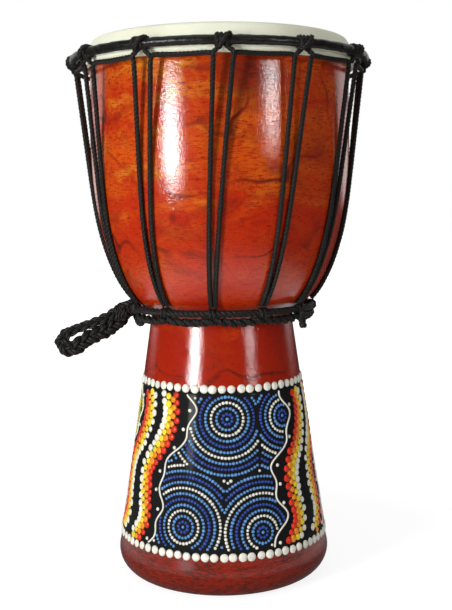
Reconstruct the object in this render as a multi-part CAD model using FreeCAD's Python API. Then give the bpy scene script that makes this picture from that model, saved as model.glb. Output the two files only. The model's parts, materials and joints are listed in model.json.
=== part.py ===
# Rope-tuned goblet hand drum (djembe), 400 mm tall: a turned wooden shell with a bowl, a neck and a
# flared foot, a goatskin head held by a flesh hoop and a wrapped crown ring, one lacing rope between
# the crown ring and a lower ring under the bowl, and a braided carry handle tied to the lower ring.
#
# Frame: millimetres, +Z up along the shell's axis, origin at the centre of the foot's flat base.
# Angles round the drum are in degrees from the front (-Y), positive towards +X.
import FreeCAD
import Part
import math
import os

# ---- driving dimensions ---------------------------------------------------------------------------

# shell, outside
drum_height = 400.0         # base to playing surface
rim_radius = 95.2           # outside of the shell at the head
belly_radius = 96.7         # widest part of the bowl
belly_drop = 70.8           # from the bearing edge down to the widest part
bowl_round_width = 46.0     # how far the bowl's underside curves in from the belly
neck_height = 202.4         # level of the bowl's underside
neck_radius = 52.7          # stem where it meets the bowl
neck_fillet = 8.0           # hollow between stem and bowl
foot_radius = 83.8          # stem's flank carried down to the base
stem_hollow = 0.6           # how far the flank bends in from a straight cone
foot_round = 18.0           # rounded lower edge of the foot
edge_round = 4.0            # bearing edge, outside
inner_edge_round = 2.0      # bearing edge and foot mouth, inside

# shell, inside
rim_wall = 9.0
belly_wall = 9.0
chamber_floor_rise = 4.0    # chamber's lowest point above the bowl's underside
throat_radius = 38.0
throat_end_height = 154.0   # where the throat opens into the foot
mouth_radius = 56.0         # foot's inside at the base

# head
skin_thickness = 0.8
hoop_rod_radius = 2.25
hoop_standoff = 4.0         # flesh hoop's centre line outside the rim
hoop_drop = 17.0            # flesh hoop's centre line below the bearing edge
hoop_fit = 0.05             # skin to hoop
skin_flap = 7.0             # skin turned up between hoop and shell

# crown ring
crown_rod_radius = 2.0
crown_wrap_radius = 2.8     # over the cloth winding
wrap_fit = 0.05             # winding to rod, both rings

# lacing
station_count = 12
first_station = 1.6         # angle of the first crown hitch
lower_turn = -6.5           # lower hitches lie this far round from the crown hitches
rope_diameter = 3.0
rope_fit = 0.1              # rope to what it is wound on
hitch_turns = 4
turn_pitch = 2.85           # turns of one hitch bed into each other
leg_spread = 3.55           # half angle between the two ropes that leave one crown hitch
run_drop = 20.9             # horizontal runs below the bearing edge
run_radius = 106.2          # horizontal runs and rope corners
corner_bend = 3.0           # bend of the rope round a crown loop
rope_lift = 0.3             # rope clear of the bowl

# lower ring
ring_seat_angle = 72.0      # where on the bowl's underside the ring bears, 90 is the lowest point
lower_rod_radius = 1.25
lower_wrap_radius = 2.0
ring_lift = 0.2             # lower hitches clear of the bowl
swag_drop = 6.6             # ropes between lower hitches, below the ring
swag_tuck = 1.5             # and inside it
handle_swag_drop = 12.0     # the same rope behind the carry handle
handle_swag_tuck = 6.0

# carry handle
handle_gap = 9              # lacing gap that holds the handle, counted from the front
braid_diameter = 7.0
handle_dip = 28.0           # loop's axis below the horizontal, at rest
knot_reach = 9.0            # ring's centre to the knot's outer face
knot_neck = 4.5             # ring's centre to where the knot widens
knot_length = 12.0          # along the ring
knot_radius = 5.0           # collar round the ring
knot_hole = 2.6             # collar's hole over the ring's winding
knot_thickness = 8.4
knot_width = 15.2
# loop's centre line from the knot's face: along its axis, across it (up), and sideways
handle_route = [
    (0.0, 3.8, 0.0),
    (8.0, 4.0, 0.3),
    (19.0, 5.6, 1.0),
    (31.0, 6.4, 0.6),
    (40.0, 7.9, -0.4),
    (47.6, 6.9, -0.9),
    (51.4, -0.4, -0.6),
    (46.9, -7.4, 0.2),
    (38.6, -8.6, 1.1),
    (28.0, -6.6, 0.8),
    (17.5, -5.6, -0.5),
    (8.0, -3.9, -0.3),
    (0.0, -3.8, 0.0),
]

# cut end of the lacing rope
tail_station = 2            # lower hitch that it hangs from
tail_length = 8.0
tail_diameter = 3.4
tail_tilt = 12.0            # degrees outwards from straight down

# how finely curves are spanned
ellipse_points = 9          # points that a bowl curve passes through
bowl_spans = 3              # runs of rope that follow the bowl
swag_spans = 4              # runs in the rope between two lower hitches
rope_end_lead = 4.5         # ropes stop this much seat angle short of the lower ring
turn_spread = 3.2           # two ropes side by side at a lower hitch
same_point = 1e-6
tube_tolerance = 0.01       # share of a rope's volume

# ---- levels and radii that follow -----------------------------------------------------------------

shell_top = drum_height - skin_thickness
belly_height = shell_top - belly_drop
bowl_centre_radius = belly_radius - bowl_round_width
bowl_round_height = belly_height - neck_height
rope_radius = rope_diameter / 2
step = 360.0 / station_count
run_height = shell_top - run_drop


def at(radius, angle, z):
    """Point at a radius and a height, at an angle round the drum."""
    a = math.radians(angle)
    return FreeCAD.Vector(radius * math.sin(a), -radius * math.cos(a), z)


def outward(angle):
    return at(1.0, angle, 0.0)


def along_ring(angle):
    """Direction of growing angle, level."""
    a = math.radians(angle)
    return FreeCAD.Vector(math.cos(a), math.sin(a), 0)


def outline_point(radius, z):
    return FreeCAD.Vector(radius, 0, z)


def line(start, end):
    return Part.makeLine(start, end)


def arc_through(start, middle, end):
    return Part.Arc(start, middle, end).toShape()


def arc_about(centre, radius, from_deg, to_deg):
    """Arc in the outline's plane; degrees from outward, positive upward."""
    angles = [from_deg, (from_deg + to_deg) / 2, to_deg]
    points = []
    for degrees in angles:
        a = math.radians(degrees)
        points.append(centre + FreeCAD.Vector(radius * math.cos(a), 0, radius * math.sin(a)))
    return arc_through(*points)


def ends(edge):
    return edge.firstVertex(True).Point, edge.lastVertex(True).Point


def turned(pieces):
    """Solid of revolution about Z. Pieces are joined by straight lines where they don't meet."""
    edges = []
    for piece, following in zip(pieces, pieces[1:] + pieces[:1]):
        edges.append(piece)
        finish = ends(piece)[1]
        start = ends(following)[0]
        if finish.distanceToPoint(start) > same_point:
            edges.append(line(finish, start))
    face = Part.Face(Part.Wire(edges))
    return face.revolve(FreeCAD.Vector(0, 0, 0), FreeCAD.Vector(0, 0, 1), 360)


def ring(radius, z, thickness):
    """Torus about Z."""
    return Part.makeTorus(radius, thickness, FreeCAD.Vector(0, 0, z), FreeCAD.Vector(0, 0, 1))


def wound_ring(radius, z, outer, inner):
    """Winding over a ring's rod."""
    return ring(radius, z, outer).cut(ring(radius, z, inner))


def rounded_path(points, radii):
    """Straight runs joined by tangent arcs; radii holds one value for each inner point."""
    edges = []
    start = points[0]
    for i, radius in enumerate(radii):
        corner = points[i + 1]
        back = (points[i] - corner).normalize()
        on = (points[i + 2] - corner).normalize()
        half_turn = (math.pi - back.getAngle(on)) / 2
        cut = radius * math.tan(half_turn)
        bisector = (back + on).normalize()
        middle = corner + bisector * (radius / math.cos(half_turn) - radius)
        edges.append(line(start, corner + back * cut))
        edges.append(arc_through(corner + back * cut, middle, corner + on * cut))
        start = corner + on * cut
    edges.append(line(start, points[-1]))
    return Part.Wire(edges)


def largest_radii(points):
    """Arc radii that use 0.45 of the shorter run beside each inner point."""
    radii = []
    for before, corner, after in zip(points, points[1:], points[2:]):
        back = before - corner
        on = after - corner
        half_turn = (math.pi - back.getAngle(on)) / 2
        radii.append(0.45 * min(back.Length, on.Length) / math.tan(half_turn))
    return radii


def tube(points, radii, diameter):
    """Round rope along a path of runs and arcs."""
    path = rounded_path(points, radii)
    direction = points[1] - points[0]
    section = Part.Wire(Part.makeCircle(diameter / 2, points[0], direction))
    solid = path.makePipeShell([section], True, False)
    expected = math.pi * diameter * diameter / 4 * path.Length
    if abs(solid.Volume / expected - 1) > tube_tolerance:
        raise ValueError("tube volume doesn't fit its path")
    return solid


def capsule(start, end, diameter):
    """Round bar with round ends."""
    bar = Part.makeCylinder(diameter / 2, (end - start).Length, start, end - start)
    for point in (start, end):
        bar = bar.fuse(Part.makeSphere(diameter / 2, point))
    return bar


# ---- shell ----------------------------------------------------------------------------------------

def bowl_point(seat_angle, lift=0.0):
    """Radius and height on the bowl's underside, lifted off the wood along its normal."""
    t = math.radians(seat_angle)
    normal_r = math.cos(t) / bowl_round_width
    normal_z = -math.sin(t) / bowl_round_height
    size = math.hypot(normal_r, normal_z)
    radius = bowl_centre_radius + bowl_round_width * math.cos(t) + lift * normal_r / size
    height = belly_height - bowl_round_height * math.sin(t) + lift * normal_z / size
    return radius, height


def elliptic_edge(centre_radius, width, height, from_deg, to_deg):
    """Curve on the lower quarter of an ellipse centred at the belly's level; 90 is its lowest point."""
    points = []
    for i in range(ellipse_points):
        t = math.radians(from_deg + (to_deg - from_deg) * i / (ellipse_points - 1))
        radius = centre_radius + width * math.cos(t)
        points.append(outline_point(radius, belly_height - height * math.sin(t)))
    curve = Part.BSplineCurve()
    curve.interpolate(points)
    return curve.toShape()


def side_arc(rim, belly):
    """Shallow arc from the rim down to the belly, upright at the belly."""
    bulge = belly.x - rim.x
    rise = rim.z - belly.z
    radius = (bulge * bulge + rise * rise) / (2 * bulge)
    a = math.asin(rise / radius) / 2
    middle = outline_point(belly.x - radius + radius * math.cos(a), belly.z + radius * math.sin(a))
    return arc_through(rim, middle, belly)


def flank_arc(neck, foot):
    """Stem's flank, bent in a little from a straight cone."""
    flank = foot - neck
    inwards = FreeCAD.Vector(flank.z, 0, -flank.x).normalize()
    return arc_through(neck, (neck + foot) * 0.5 + inwards * stem_hollow, foot)


def round_edge(solid, radius, z, size):
    """Fillet the level circular edge at a radius and a height."""
    for edge in solid.Edges:
        curve = edge.Curve
        if not isinstance(curve, Part.Circle) or abs(curve.Axis.z) < 0.99:
            continue
        if abs(curve.Center.z - z) < 0.01 and abs(curve.Radius - radius) < 0.01:
            return solid.makeFillet(size, [edge])
    raise ValueError("no edge to round at radius %.1f" % radius)


def make_shell():
    chamber_floor = neck_height + chamber_floor_rise
    inner_belly_radius = belly_radius - belly_wall
    inner_rim_radius = rim_radius - rim_wall
    neck_angle = math.degrees(math.acos((neck_radius - bowl_centre_radius) / bowl_round_width))
    neck = outline_point(*bowl_point(neck_angle))
    foot = outline_point(foot_radius, 0)
    mouth = outline_point(mouth_radius, 0)
    throat_end = outline_point(throat_radius, throat_end_height)
    edge_centre = outline_point(rim_radius - edge_round, shell_top - edge_round)
    inner_edge_centre = outline_point(inner_rim_radius + inner_edge_round,
                                      shell_top - inner_edge_round)
    shell = turned([
        arc_about(edge_centre, edge_round, 90, 0),
        side_arc(outline_point(rim_radius, shell_top - edge_round),
                 outline_point(belly_radius, belly_height)),
        elliptic_edge(bowl_centre_radius, bowl_round_width, bowl_round_height, 0, neck_angle),
        flank_arc(neck, foot),
        line(foot, mouth),
        line(mouth, throat_end),
        elliptic_edge(throat_radius, inner_belly_radius - throat_radius,
                      belly_height - chamber_floor, 90, 0),
        arc_about(inner_edge_centre, inner_edge_round, 180, 90),
    ])
    shell = round_edge(shell, neck.x, neck.z, neck_fillet)
    shell = round_edge(shell, foot.x, 0.0, foot_round)
    return round_edge(shell, mouth.x, 0.0, inner_edge_round)


# ---- head -----------------------------------------------------------------------------------------

def hoop_centre():
    return outline_point(rim_radius + hoop_standoff, shell_top - hoop_drop)


def head_slope():
    """Direction, in degrees from outward, that the skin between bearing edge and hoop faces."""
    edge_centre = outline_point(rim_radius - edge_round, shell_top - edge_round)
    between = hoop_centre() - edge_centre
    falls = math.atan2(between.z, between.x)
    lean = math.acos((edge_round - hoop_rod_radius - hoop_fit) / between.Length)
    return math.degrees(falls + lean)


def off_skin(distance):
    """Point that stands off the skin at the flesh hoop, squarely to the skin's slope."""
    a = math.radians(head_slope())
    reach = hoop_rod_radius + hoop_fit + skin_thickness + distance
    return hoop_centre() + FreeCAD.Vector(reach * math.cos(a), 0, reach * math.sin(a))


def make_drumhead():
    slope = head_slope()
    edge_centre = outline_point(rim_radius - edge_round, shell_top - edge_round)
    wrap_inside = hoop_rod_radius + hoop_fit
    wrap_outside = wrap_inside + skin_thickness
    hoop = hoop_centre()
    flap_top = hoop.z + skin_flap
    return turned([
        line(outline_point(0, drum_height), outline_point(edge_centre.x, drum_height)),
        arc_about(edge_centre, edge_round + skin_thickness, 90, slope),
        arc_about(hoop, wrap_outside, slope, -180),
        line(outline_point(hoop.x - wrap_outside, hoop.z),
             outline_point(hoop.x - wrap_outside, flap_top)),
        line(outline_point(hoop.x - wrap_inside, flap_top),
             outline_point(hoop.x - wrap_inside, hoop.z)),
        arc_about(hoop, wrap_inside, -180, slope),
        arc_about(edge_centre, edge_round, slope, 90),
        line(outline_point(edge_centre.x, shell_top), outline_point(0, shell_top)),
    ])


def make_flesh_hoop():
    return ring(hoop_centre().x, hoop_centre().z, hoop_rod_radius)


# ---- crown ring and its hitches -------------------------------------------------------------------

def crown_centre():
    """Crown ring's centre line: the hitch rope lies between its winding and the skin."""
    return off_skin(rope_diameter + 2 * rope_fit + crown_wrap_radius)


def crown_angle(station):
    return first_station + station * step


def lower_angle(station):
    return crown_angle(station) + lower_turn


def rope_corner(station, side):
    """Corner where the lacing turns from upright to level, on one side of a crown hitch."""
    return at(run_radius, crown_angle(station) + side * leg_spread, run_height)


def wound_turns(radius, z, angle, wrap_radius, turns):
    """Turns of rope side by side round a ring, fused into one knot."""
    coil_radius = wrap_radius + rope_fit + rope_radius
    knot = None
    for i in range(turns):
        offset = (i - (turns - 1) / 2) * turn_pitch
        turn_angle = angle + math.degrees(offset / radius)
        turn = Part.makeTorus(coil_radius, rope_radius, at(radius, turn_angle, z),
                              along_ring(turn_angle))
        knot = turn if knot is None else knot.fuse(turn)
    return knot


def make_crown_hitch(station):
    """Turns of rope on the crown ring, and the two legs that hold the lacing's corners."""
    centre = crown_centre()
    angle = crown_angle(station)
    knot = wound_turns(centre.x, centre.z, angle, crown_wrap_radius, hitch_turns)
    leg_top = centre.z - crown_wrap_radius - rope_fit - rope_radius
    clear = (rope_diameter + rope_fit) / math.sqrt(2)
    corner_cut = corner_bend * (1 - 1 / math.sqrt(2))
    for side in (-1, 1):
        start = at(centre.x, angle + side * math.degrees(turn_pitch / 2 / centre.x), leg_top)
        foot = rope_corner(station, side)
        foot += along_ring(angle) * (side * (corner_cut - clear))
        foot.z += clear - corner_cut
        knot = knot.fuse(capsule(start, foot, rope_diameter))
    return knot


# ---- lacing ---------------------------------------------------------------------------------------

def lower_ring_centre():
    """Lower ring's centre line: the hitch rope lies between its winding and the bowl."""
    lift = lower_wrap_radius + rope_diameter + 2 * rope_fit + ring_lift
    return outline_point(*bowl_point(ring_seat_angle, lift))


def tangent_seat():
    """Seat angle at which the rope that comes straight down from its corner first bears."""
    low, high = 0.0, ring_seat_angle
    while high - low > 0.01:
        middle = (low + high) / 2
        radius, height = bowl_point(middle)
        lifted_radius, lifted_height = bowl_point(middle, rope_radius + rope_lift)
        normal_r = lifted_radius - radius
        normal_z = lifted_height - height
        reach = (run_radius - lifted_radius) * normal_r + (run_height - lifted_height) * normal_z
        if reach > 0:
            low = middle
        else:
            high = middle
    return low


def tangents_cross(first, second):
    """Where the tangents of the rope's curve at two seat angles cross, as radius and height."""
    lines = []
    for seat in (first, second):
        radius, height = bowl_point(seat)
        lifted_radius, lifted_height = bowl_point(seat, 1.0)
        normal = (lifted_radius - radius, lifted_height - height)
        on_rope = bowl_point(seat, rope_radius + rope_lift)
        lines.append((normal, normal[0] * on_rope[0] + normal[1] * on_rope[1]))
    (n1, c1), (n2, c2) = lines
    det = n1[0] * n2[1] - n1[1] * n2[0]
    return (c1 * n2[1] - c2 * n1[1]) / det, (n1[0] * c2 - n2[0] * c1) / det


def rope_descent(station, side):
    """Points of one rope from its lower hitch up to the corner beside its crown hitch."""
    ring_centre = lower_ring_centre()
    end_seat = ring_seat_angle - rope_end_lead
    first_seat = tangent_seat()
    seats = [first_seat + (end_seat - first_seat) * i / bowl_spans for i in range(bowl_spans + 1)]
    outline = [bowl_point(end_seat, rope_radius + rope_lift)]
    for higher, lower in reversed(list(zip(seats, seats[1:]))):
        outline.append(tangents_cross(higher, lower))
    top_angle = crown_angle(station) + side * leg_spread
    foot_spread = math.degrees(turn_spread / 2 / ring_centre.x)
    foot_angle = lower_angle(station) + side * foot_spread
    points = []
    for radius, height in outline:
        share = (height - outline[0][1]) / (run_height - outline[0][1])
        points.append(at(radius, foot_angle + (top_angle - foot_angle) * share, height))
    points.append(rope_corner(station, side))
    return points


def make_tension_rope(station):
    """Up from one lower hitch, level under the crown ring and down to the next lower hitch."""
    up = rope_descent(station, 1)
    down = rope_descent(station + 1, -1)
    run_middle = at(run_radius, crown_angle(station) + step / 2, run_height)
    points = up + [run_middle] + list(reversed(down))
    radii = largest_radii(points)
    top = len(up) - 1
    radii[top - 1] = corner_bend
    radii[top + 1] = corner_bend
    return tube(points, radii, rope_diameter)


def make_lower_hitch(station):
    centre = lower_ring_centre()
    return wound_turns(centre.x, centre.z, lower_angle(station), lower_wrap_radius, 2)


def swag_sag(span):
    """How much of its full sag a swag has after some of its spans."""
    return math.sin(math.pi * span / swag_spans) ** 0.8


def make_swag(station):
    """Rope that hangs below the lower ring from one hitch to the next."""
    centre = lower_ring_centre()
    holds_handle = station == handle_gap
    drop = handle_swag_drop if holds_handle else swag_drop
    tuck = handle_swag_tuck if holds_handle else swag_tuck
    start_drop = lower_wrap_radius + rope_radius + 2 * rope_fit
    fall = (drop - start_drop) * swag_sag(1)
    run = math.radians(step) * centre.x / swag_spans
    end_lean = rope_radius * (fall + tuck * swag_sag(1)) / run
    clear = math.degrees((turn_pitch / 2 + rope_radius + rope_fit + end_lean) / centre.x)
    start_angle = lower_angle(station) + clear
    points = []
    for i in range(swag_spans + 1):
        sag = swag_sag(i)
        angle = start_angle + (step - 2 * clear) * i / swag_spans
        height = centre.z - start_drop - (drop - start_drop) * sag
        points.append(at(centre.x - tuck * sag, angle, height))
    return tube(points, largest_radii(points), rope_diameter)


def make_rope_tail():
    """Cut end of the lacing rope, hanging outside a lower hitch."""
    centre = lower_ring_centre()
    angle = lower_angle(tail_station)
    coil_outside = lower_wrap_radius + rope_fit + rope_diameter
    tilt = math.radians(tail_tilt)
    lean = outward(angle) * math.sin(tilt) - FreeCAD.Vector(0, 0, math.cos(tilt))
    start = at(centre.x, angle, centre.z) + outward(angle) * tail_diameter
    start.z -= math.sqrt((coil_outside + rope_fit + tail_diameter / 2) ** 2 - tail_diameter ** 2)
    return capsule(start, start + lean * tail_length, tail_diameter)


# ---- carry handle ---------------------------------------------------------------------------------

def handle_angle():
    return lower_angle(handle_gap) + step / 2


def handle_axes():
    """Along the loop, across it and sideways, at rest."""
    dip = math.radians(handle_dip)
    out = outward(handle_angle())
    up = FreeCAD.Vector(0, 0, 1)
    along = out * math.cos(dip) - up * math.sin(dip)
    across = out * math.sin(dip) + up * math.cos(dip)
    return along, across, along_ring(handle_angle())


def handle_pivot():
    centre = lower_ring_centre()
    return at(centre.x, handle_angle(), centre.z)


def make_handle_knot():
    """Collar round the lower ring and the whipped block that grips both ends of the braid."""
    along, across, sideways = handle_axes()
    pivot = handle_pivot()
    collar = Part.makeCylinder(knot_radius, knot_length,
                               pivot - sideways * (knot_length / 2), sideways)
    half_height = (knot_width - knot_thickness) / 2
    knot = collar
    for side in (-1, 1):
        start = pivot + along * knot_neck + across * (side * half_height)
        knot = knot.fuse(Part.makeCylinder(knot_thickness / 2, knot_reach - knot_neck, start, along))
    corners = []
    for up, aside in ((-1, -1), (1, -1), (1, 1), (-1, 1)):
        corners.append(pivot + across * (up * half_height) + sideways * (aside * knot_thickness / 2))
    slab = Part.Face(Part.makePolygon(corners + corners[:1])).extrude(along * knot_reach)
    knot = knot.fuse(slab).removeSplitter()
    hole_length = knot_length + knot_thickness
    hole = Part.makeCylinder(knot_hole, hole_length, pivot - sideways * (hole_length / 2), sideways)
    return knot.cut(hole)


def make_carry_handle():
    along, across, sideways = handle_axes()
    face = handle_pivot() + along * (knot_reach + rope_fit)
    points = [face + along * a + across * b + sideways * c for a, b, c in handle_route]
    radii = largest_radii(points)
    print("carry handle arc radii", [round(r, 1) for r in radii])
    return tube(points, radii, braid_diameter)


# ---- build ----------------------------------------------------------------------------------------

def build():
    crown = crown_centre()
    lower = lower_ring_centre()
    stations = range(station_count)
    nodes = {
        "shell": make_shell(),
        "drumhead": make_drumhead(),
        "flesh_hoop": make_flesh_hoop(),
        "crown_ring": ring(crown.x, crown.z, crown_rod_radius),
        "crown_ring_winding": wound_ring(crown.x, crown.z, crown_wrap_radius,
                                         crown_rod_radius + wrap_fit),
        "lower_ring": ring(lower.x, lower.z, lower_rod_radius),
        "lower_ring_winding": wound_ring(lower.x, lower.z, lower_wrap_radius,
                                         lower_rod_radius + wrap_fit),
        "lower_swags": Part.makeCompound([make_swag(k) for k in stations]),
        "rope_tail": make_rope_tail(),
        "handle_knot": make_handle_knot(),
        "carry_handle": make_carry_handle(),
    }
    for k in stations:
        nodes["crown_hitch_%02d" % (k + 1)] = make_crown_hitch(k)
        nodes["tension_rope_%02d" % (k + 1)] = make_tension_rope(k)
        nodes["lower_hitch_%02d" % (k + 1)] = make_lower_hitch(k)
    return nodes


os.makedirs("parts", exist_ok=True)
for name, shape in build().items():
    if not shape.isValid():
        raise ValueError(name + " isn't a valid solid")
    shape.exportStep("parts/" + name + ".step")
print("handle pivot", handle_pivot(), "axis", handle_axes()[2])
print("crown ring", crown_centre(), "lower ring", lower_ring_centre(), "hoop", hoop_centre())
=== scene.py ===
"""Rope-tuned goblet hand drum: the finish of every piece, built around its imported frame.

Metres, +Z up along the shell's axis, origin at the centre of the foot's flat base, front towards -Y.
Angles round the drum are in radians from the front, positive towards +X.
"""
import bmesh
import bpy
import json
import math
import random
from bpy.props import FloatProperty, FloatVectorProperty, PointerProperty
from mathutils import Matrix, Vector, noise


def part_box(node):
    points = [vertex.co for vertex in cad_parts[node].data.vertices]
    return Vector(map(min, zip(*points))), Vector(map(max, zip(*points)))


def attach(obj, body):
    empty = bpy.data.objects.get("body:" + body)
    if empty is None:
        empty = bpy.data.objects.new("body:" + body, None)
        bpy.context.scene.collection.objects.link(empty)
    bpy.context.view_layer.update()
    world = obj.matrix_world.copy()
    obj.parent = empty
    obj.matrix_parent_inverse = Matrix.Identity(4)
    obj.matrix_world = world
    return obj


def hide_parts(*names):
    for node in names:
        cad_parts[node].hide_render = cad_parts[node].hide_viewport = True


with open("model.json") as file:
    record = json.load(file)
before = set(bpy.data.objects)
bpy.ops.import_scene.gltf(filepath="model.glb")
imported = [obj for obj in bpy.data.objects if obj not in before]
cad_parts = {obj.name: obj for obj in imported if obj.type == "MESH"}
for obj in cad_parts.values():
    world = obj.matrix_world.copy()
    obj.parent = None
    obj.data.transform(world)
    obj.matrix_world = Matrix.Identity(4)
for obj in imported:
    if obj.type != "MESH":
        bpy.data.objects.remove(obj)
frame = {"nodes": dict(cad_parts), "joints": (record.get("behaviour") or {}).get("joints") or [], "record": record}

bl_info = {
    "name": "Goblet Drum",
    "version": (1, 0, 0),
    "blender": (4, 5, 0),
    "location": "View3D > Sidebar > Drum",
    "description": "Finishes a rope-tuned goblet drum, piece by piece, around its packed frame",
    "category": "Add Mesh",
}

# ---- what the frame says --------------------------------------------------------------------------

FULL_TURN = 2 * math.pi
MM = 0.001
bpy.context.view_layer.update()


def ring_size(node):
    """Centre-line radius, height and thickness of a level ring."""
    low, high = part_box(node)
    thick = high.z - low.z
    return high.x - thick / 2, (high.z + low.z) / 2, thick


def node_angle(node):
    """Where a node lies round the drum."""
    low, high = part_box(node)
    middle = (low + high) / 2
    return math.atan2(middle.x, -middle.y)


STATIONS = sum(name.startswith("crown_hitch_") for name in frame["nodes"])
STEP = FULL_TURN / STATIONS
FIRST_STATION = node_angle("crown_hitch_01")
LOWER_TURN = node_angle("lower_hitch_01") - FIRST_STATION
CROWN_RADIUS, CROWN_HEIGHT, CROWN_THICK = ring_size("crown_ring_winding")
LOWER_RADIUS, LOWER_HEIGHT, LOWER_THICK = ring_size("lower_ring_winding")
HOOP_RADIUS, HOOP_HEIGHT, HOOP_THICK = ring_size("flesh_hoop")
SHELL_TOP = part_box("shell")[1].z
BELLY_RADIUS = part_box("shell")[1].x
DRUM_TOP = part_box("drumhead")[1].z
SWING = frame["joints"][0]
SLOT_COLOURS = {m["slot"]: m["base_color"] for m in frame["record"]["materials"]}


# ---- sizes and colours that a user would change ---------------------------------------------------

def length_prop(name, description, default):
    return FloatProperty(name=name, description=description, default=default, min=0.0,
                         subtype="DISTANCE", unit="LENGTH", precision=4)


def angle_prop(name, description, degrees):
    return FloatProperty(name=name, description=description, default=math.radians(degrees),
                         subtype="ANGLE", unit="ROTATION")


def colour_prop(name, description, rgb):
    return FloatVectorProperty(name=name, description=description, default=rgb, size=3,
                               min=0.0, max=1.0, subtype="COLOR")


class ShellSizes(bpy.types.PropertyGroup):
    """Outline of the turned shell."""

    rim_radius: length_prop("Rim radius", "Outside of the shell at the head", 0.0952)
    belly_drop: length_prop("Belly drop", "From the bearing edge to the widest part", 0.0708)
    bowl_round: length_prop("Bowl round", "How far the underside curves in from the belly", 0.046)
    neck_height: length_prop("Neck height", "Level of the bowl's underside", 0.2024)
    neck_radius: length_prop("Neck radius", "Stem where it meets the bowl", 0.0527)
    neck_hollow: length_prop("Neck hollow", "Length of the hollow on each side of the neck", 0.007)
    foot_radius: length_prop("Foot radius", "Stem's flank carried down to the base", 0.0838)
    stem_hollow: length_prop("Stem hollow", "How far the flank bends in", 0.0006)
    foot_round: length_prop("Foot round", "Rounded lower edge of the foot", 0.018)
    edge_round: length_prop("Edge round", "Bearing edge, outside", 0.004)
    inner_round: length_prop("Inner round", "Bearing edge and foot mouth, inside", 0.002)
    wall: length_prop("Wall", "Thickness of the bowl", 0.009)
    throat_radius: length_prop("Throat radius", "Narrowest part of the hollow", 0.038)
    throat_end: length_prop("Throat end", "Height at which the throat opens into the foot", 0.154)
    mouth_radius: length_prop("Mouth radius", "Foot's inside at the base", 0.056)
    floor_rise: length_prop("Floor rise", "Chamber floor above the bowl's underside", 0.004)
    skin: length_prop("Skin", "Thickness of the goatskin", 0.0008)


class RopeSizes(bpy.types.PropertyGroup):
    """Lacing rope, its hitches and the carry handle."""

    rope: length_prop("Rope", "Diameter of the lacing rope", 0.003)
    rope_lay: length_prop("Rope lay", "Length of one full twist of its strands", 0.0088)
    run_radius: length_prop("Run radius", "Level runs, out from the axis", 0.1062)
    run_drop: length_prop("Run drop", "Level runs below the bearing edge", 0.0209)
    leg_spread: angle_prop("Leg spread", "Half angle between the ropes of one hitch", 3.55)
    turn_pitch: length_prop("Turn pitch", "Distance between the turns of a hitch", 0.00285)
    seat: angle_prop("Seat", "Where on the bowl's round the lower ring bears", 72.0)
    lift: length_prop("Lift", "Rope clear of the bowl", 0.0003)
    braid: length_prop("Braid", "Diameter of the carry handle's braid", 0.007)
    braid_lay: length_prop("Braid lay", "Length of one full crossing of the braid", 0.0225)
    handle_dip: angle_prop("Handle dip", "Carry handle below the horizontal", 28.0)


class PaintSizes(bpy.types.PropertyGroup):
    """Dot painting round the foot."""

    top: length_prop("Top row", "Height of the upper row of white dots", 0.1497)
    bottom: length_prop("Bottom row", "Height of the lower row of white dots", 0.0325)
    row_dot: length_prop("Row dot", "Diameter of the dots in the white rows", 0.0064)
    band_dot: length_prop("Band dot", "Diameter of the dots in the coloured bands", 0.0053)
    fine_dot: length_prop("Fine dot", "Diameter of the dots in the circles", 0.0023)
    line: length_prop("Line", "Thickness of the wavy lines", 0.0014)


class DrumColours(bpy.types.PropertyGroup):
    """Stain, skin and cord."""

    stain_light: colour_prop("Light stain", "Orange parts of the wood", (0.55, 0.082, 0.0025))
    stain_mid: colour_prop("Stain", "Main colour of the wood", (0.44, 0.016, 0.0008))
    stain_gold: colour_prop("Gold stain", "Palest patches of the wood", (0.64, 0.25, 0.016))
    stain_stem: colour_prop("Stem stain", "Redder wood of the stem", (0.31, 0.0065, 0.0006))
    stain_foot: colour_prop("Foot stain", "Browner wood of the foot", (0.078, 0.0105, 0.0045))
    stain_dark: colour_prop("Dark stain", "Growth lines and dark patches", (0.070, 0.008, 0.004))
    bare_wood: colour_prop("Bare wood", "Inside of the shell", (0.42, 0.24, 0.12))
    skin: colour_prop("Skin", "Goatskin", (0.87, 0.88, 0.70))
    skin_dark: colour_prop("Skin shade", "Darker parts of the goatskin", (0.62, 0.60, 0.44))
    cord: colour_prop("Cord", "Lacing rope", (0.0062, 0.0056, 0.0042))
    cloth: colour_prop("Cloth", "Winding of the crown ring", (0.0045, 0.0045, 0.0038))


# ---- mesh tools -----------------------------------------------------------------------------------

def at(radius, angle, z):
    """Point at a radius and a height, at an angle round the drum."""
    return Vector((radius * math.sin(angle), -radius * math.cos(angle), z))


def outward(angle):
    return at(1.0, angle, 0.0)


def along_ring(angle):
    return Vector((math.cos(angle), math.sin(angle), 0.0))


def drum_object(name, mesh, body, material, replaces=()):
    """Link a finished piece, ride it on its body and hide the nodes that it stands for."""
    piece = bpy.data.objects.new(name, mesh)
    bpy.context.scene.collection.objects.link(piece)
    for one in material if isinstance(material, list) else [material]:
        mesh.materials.append(one)
    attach(piece, body)
    if replaces:
        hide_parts(*replaces)
    return piece


def mesh_from(bm, name, smooth=True):
    """Close a bmesh into a mesh."""
    for face in bm.faces:
        face.smooth = smooth
    mesh = bpy.data.meshes.new(name)
    bm.to_mesh(mesh)
    bm.free()
    return mesh


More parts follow.
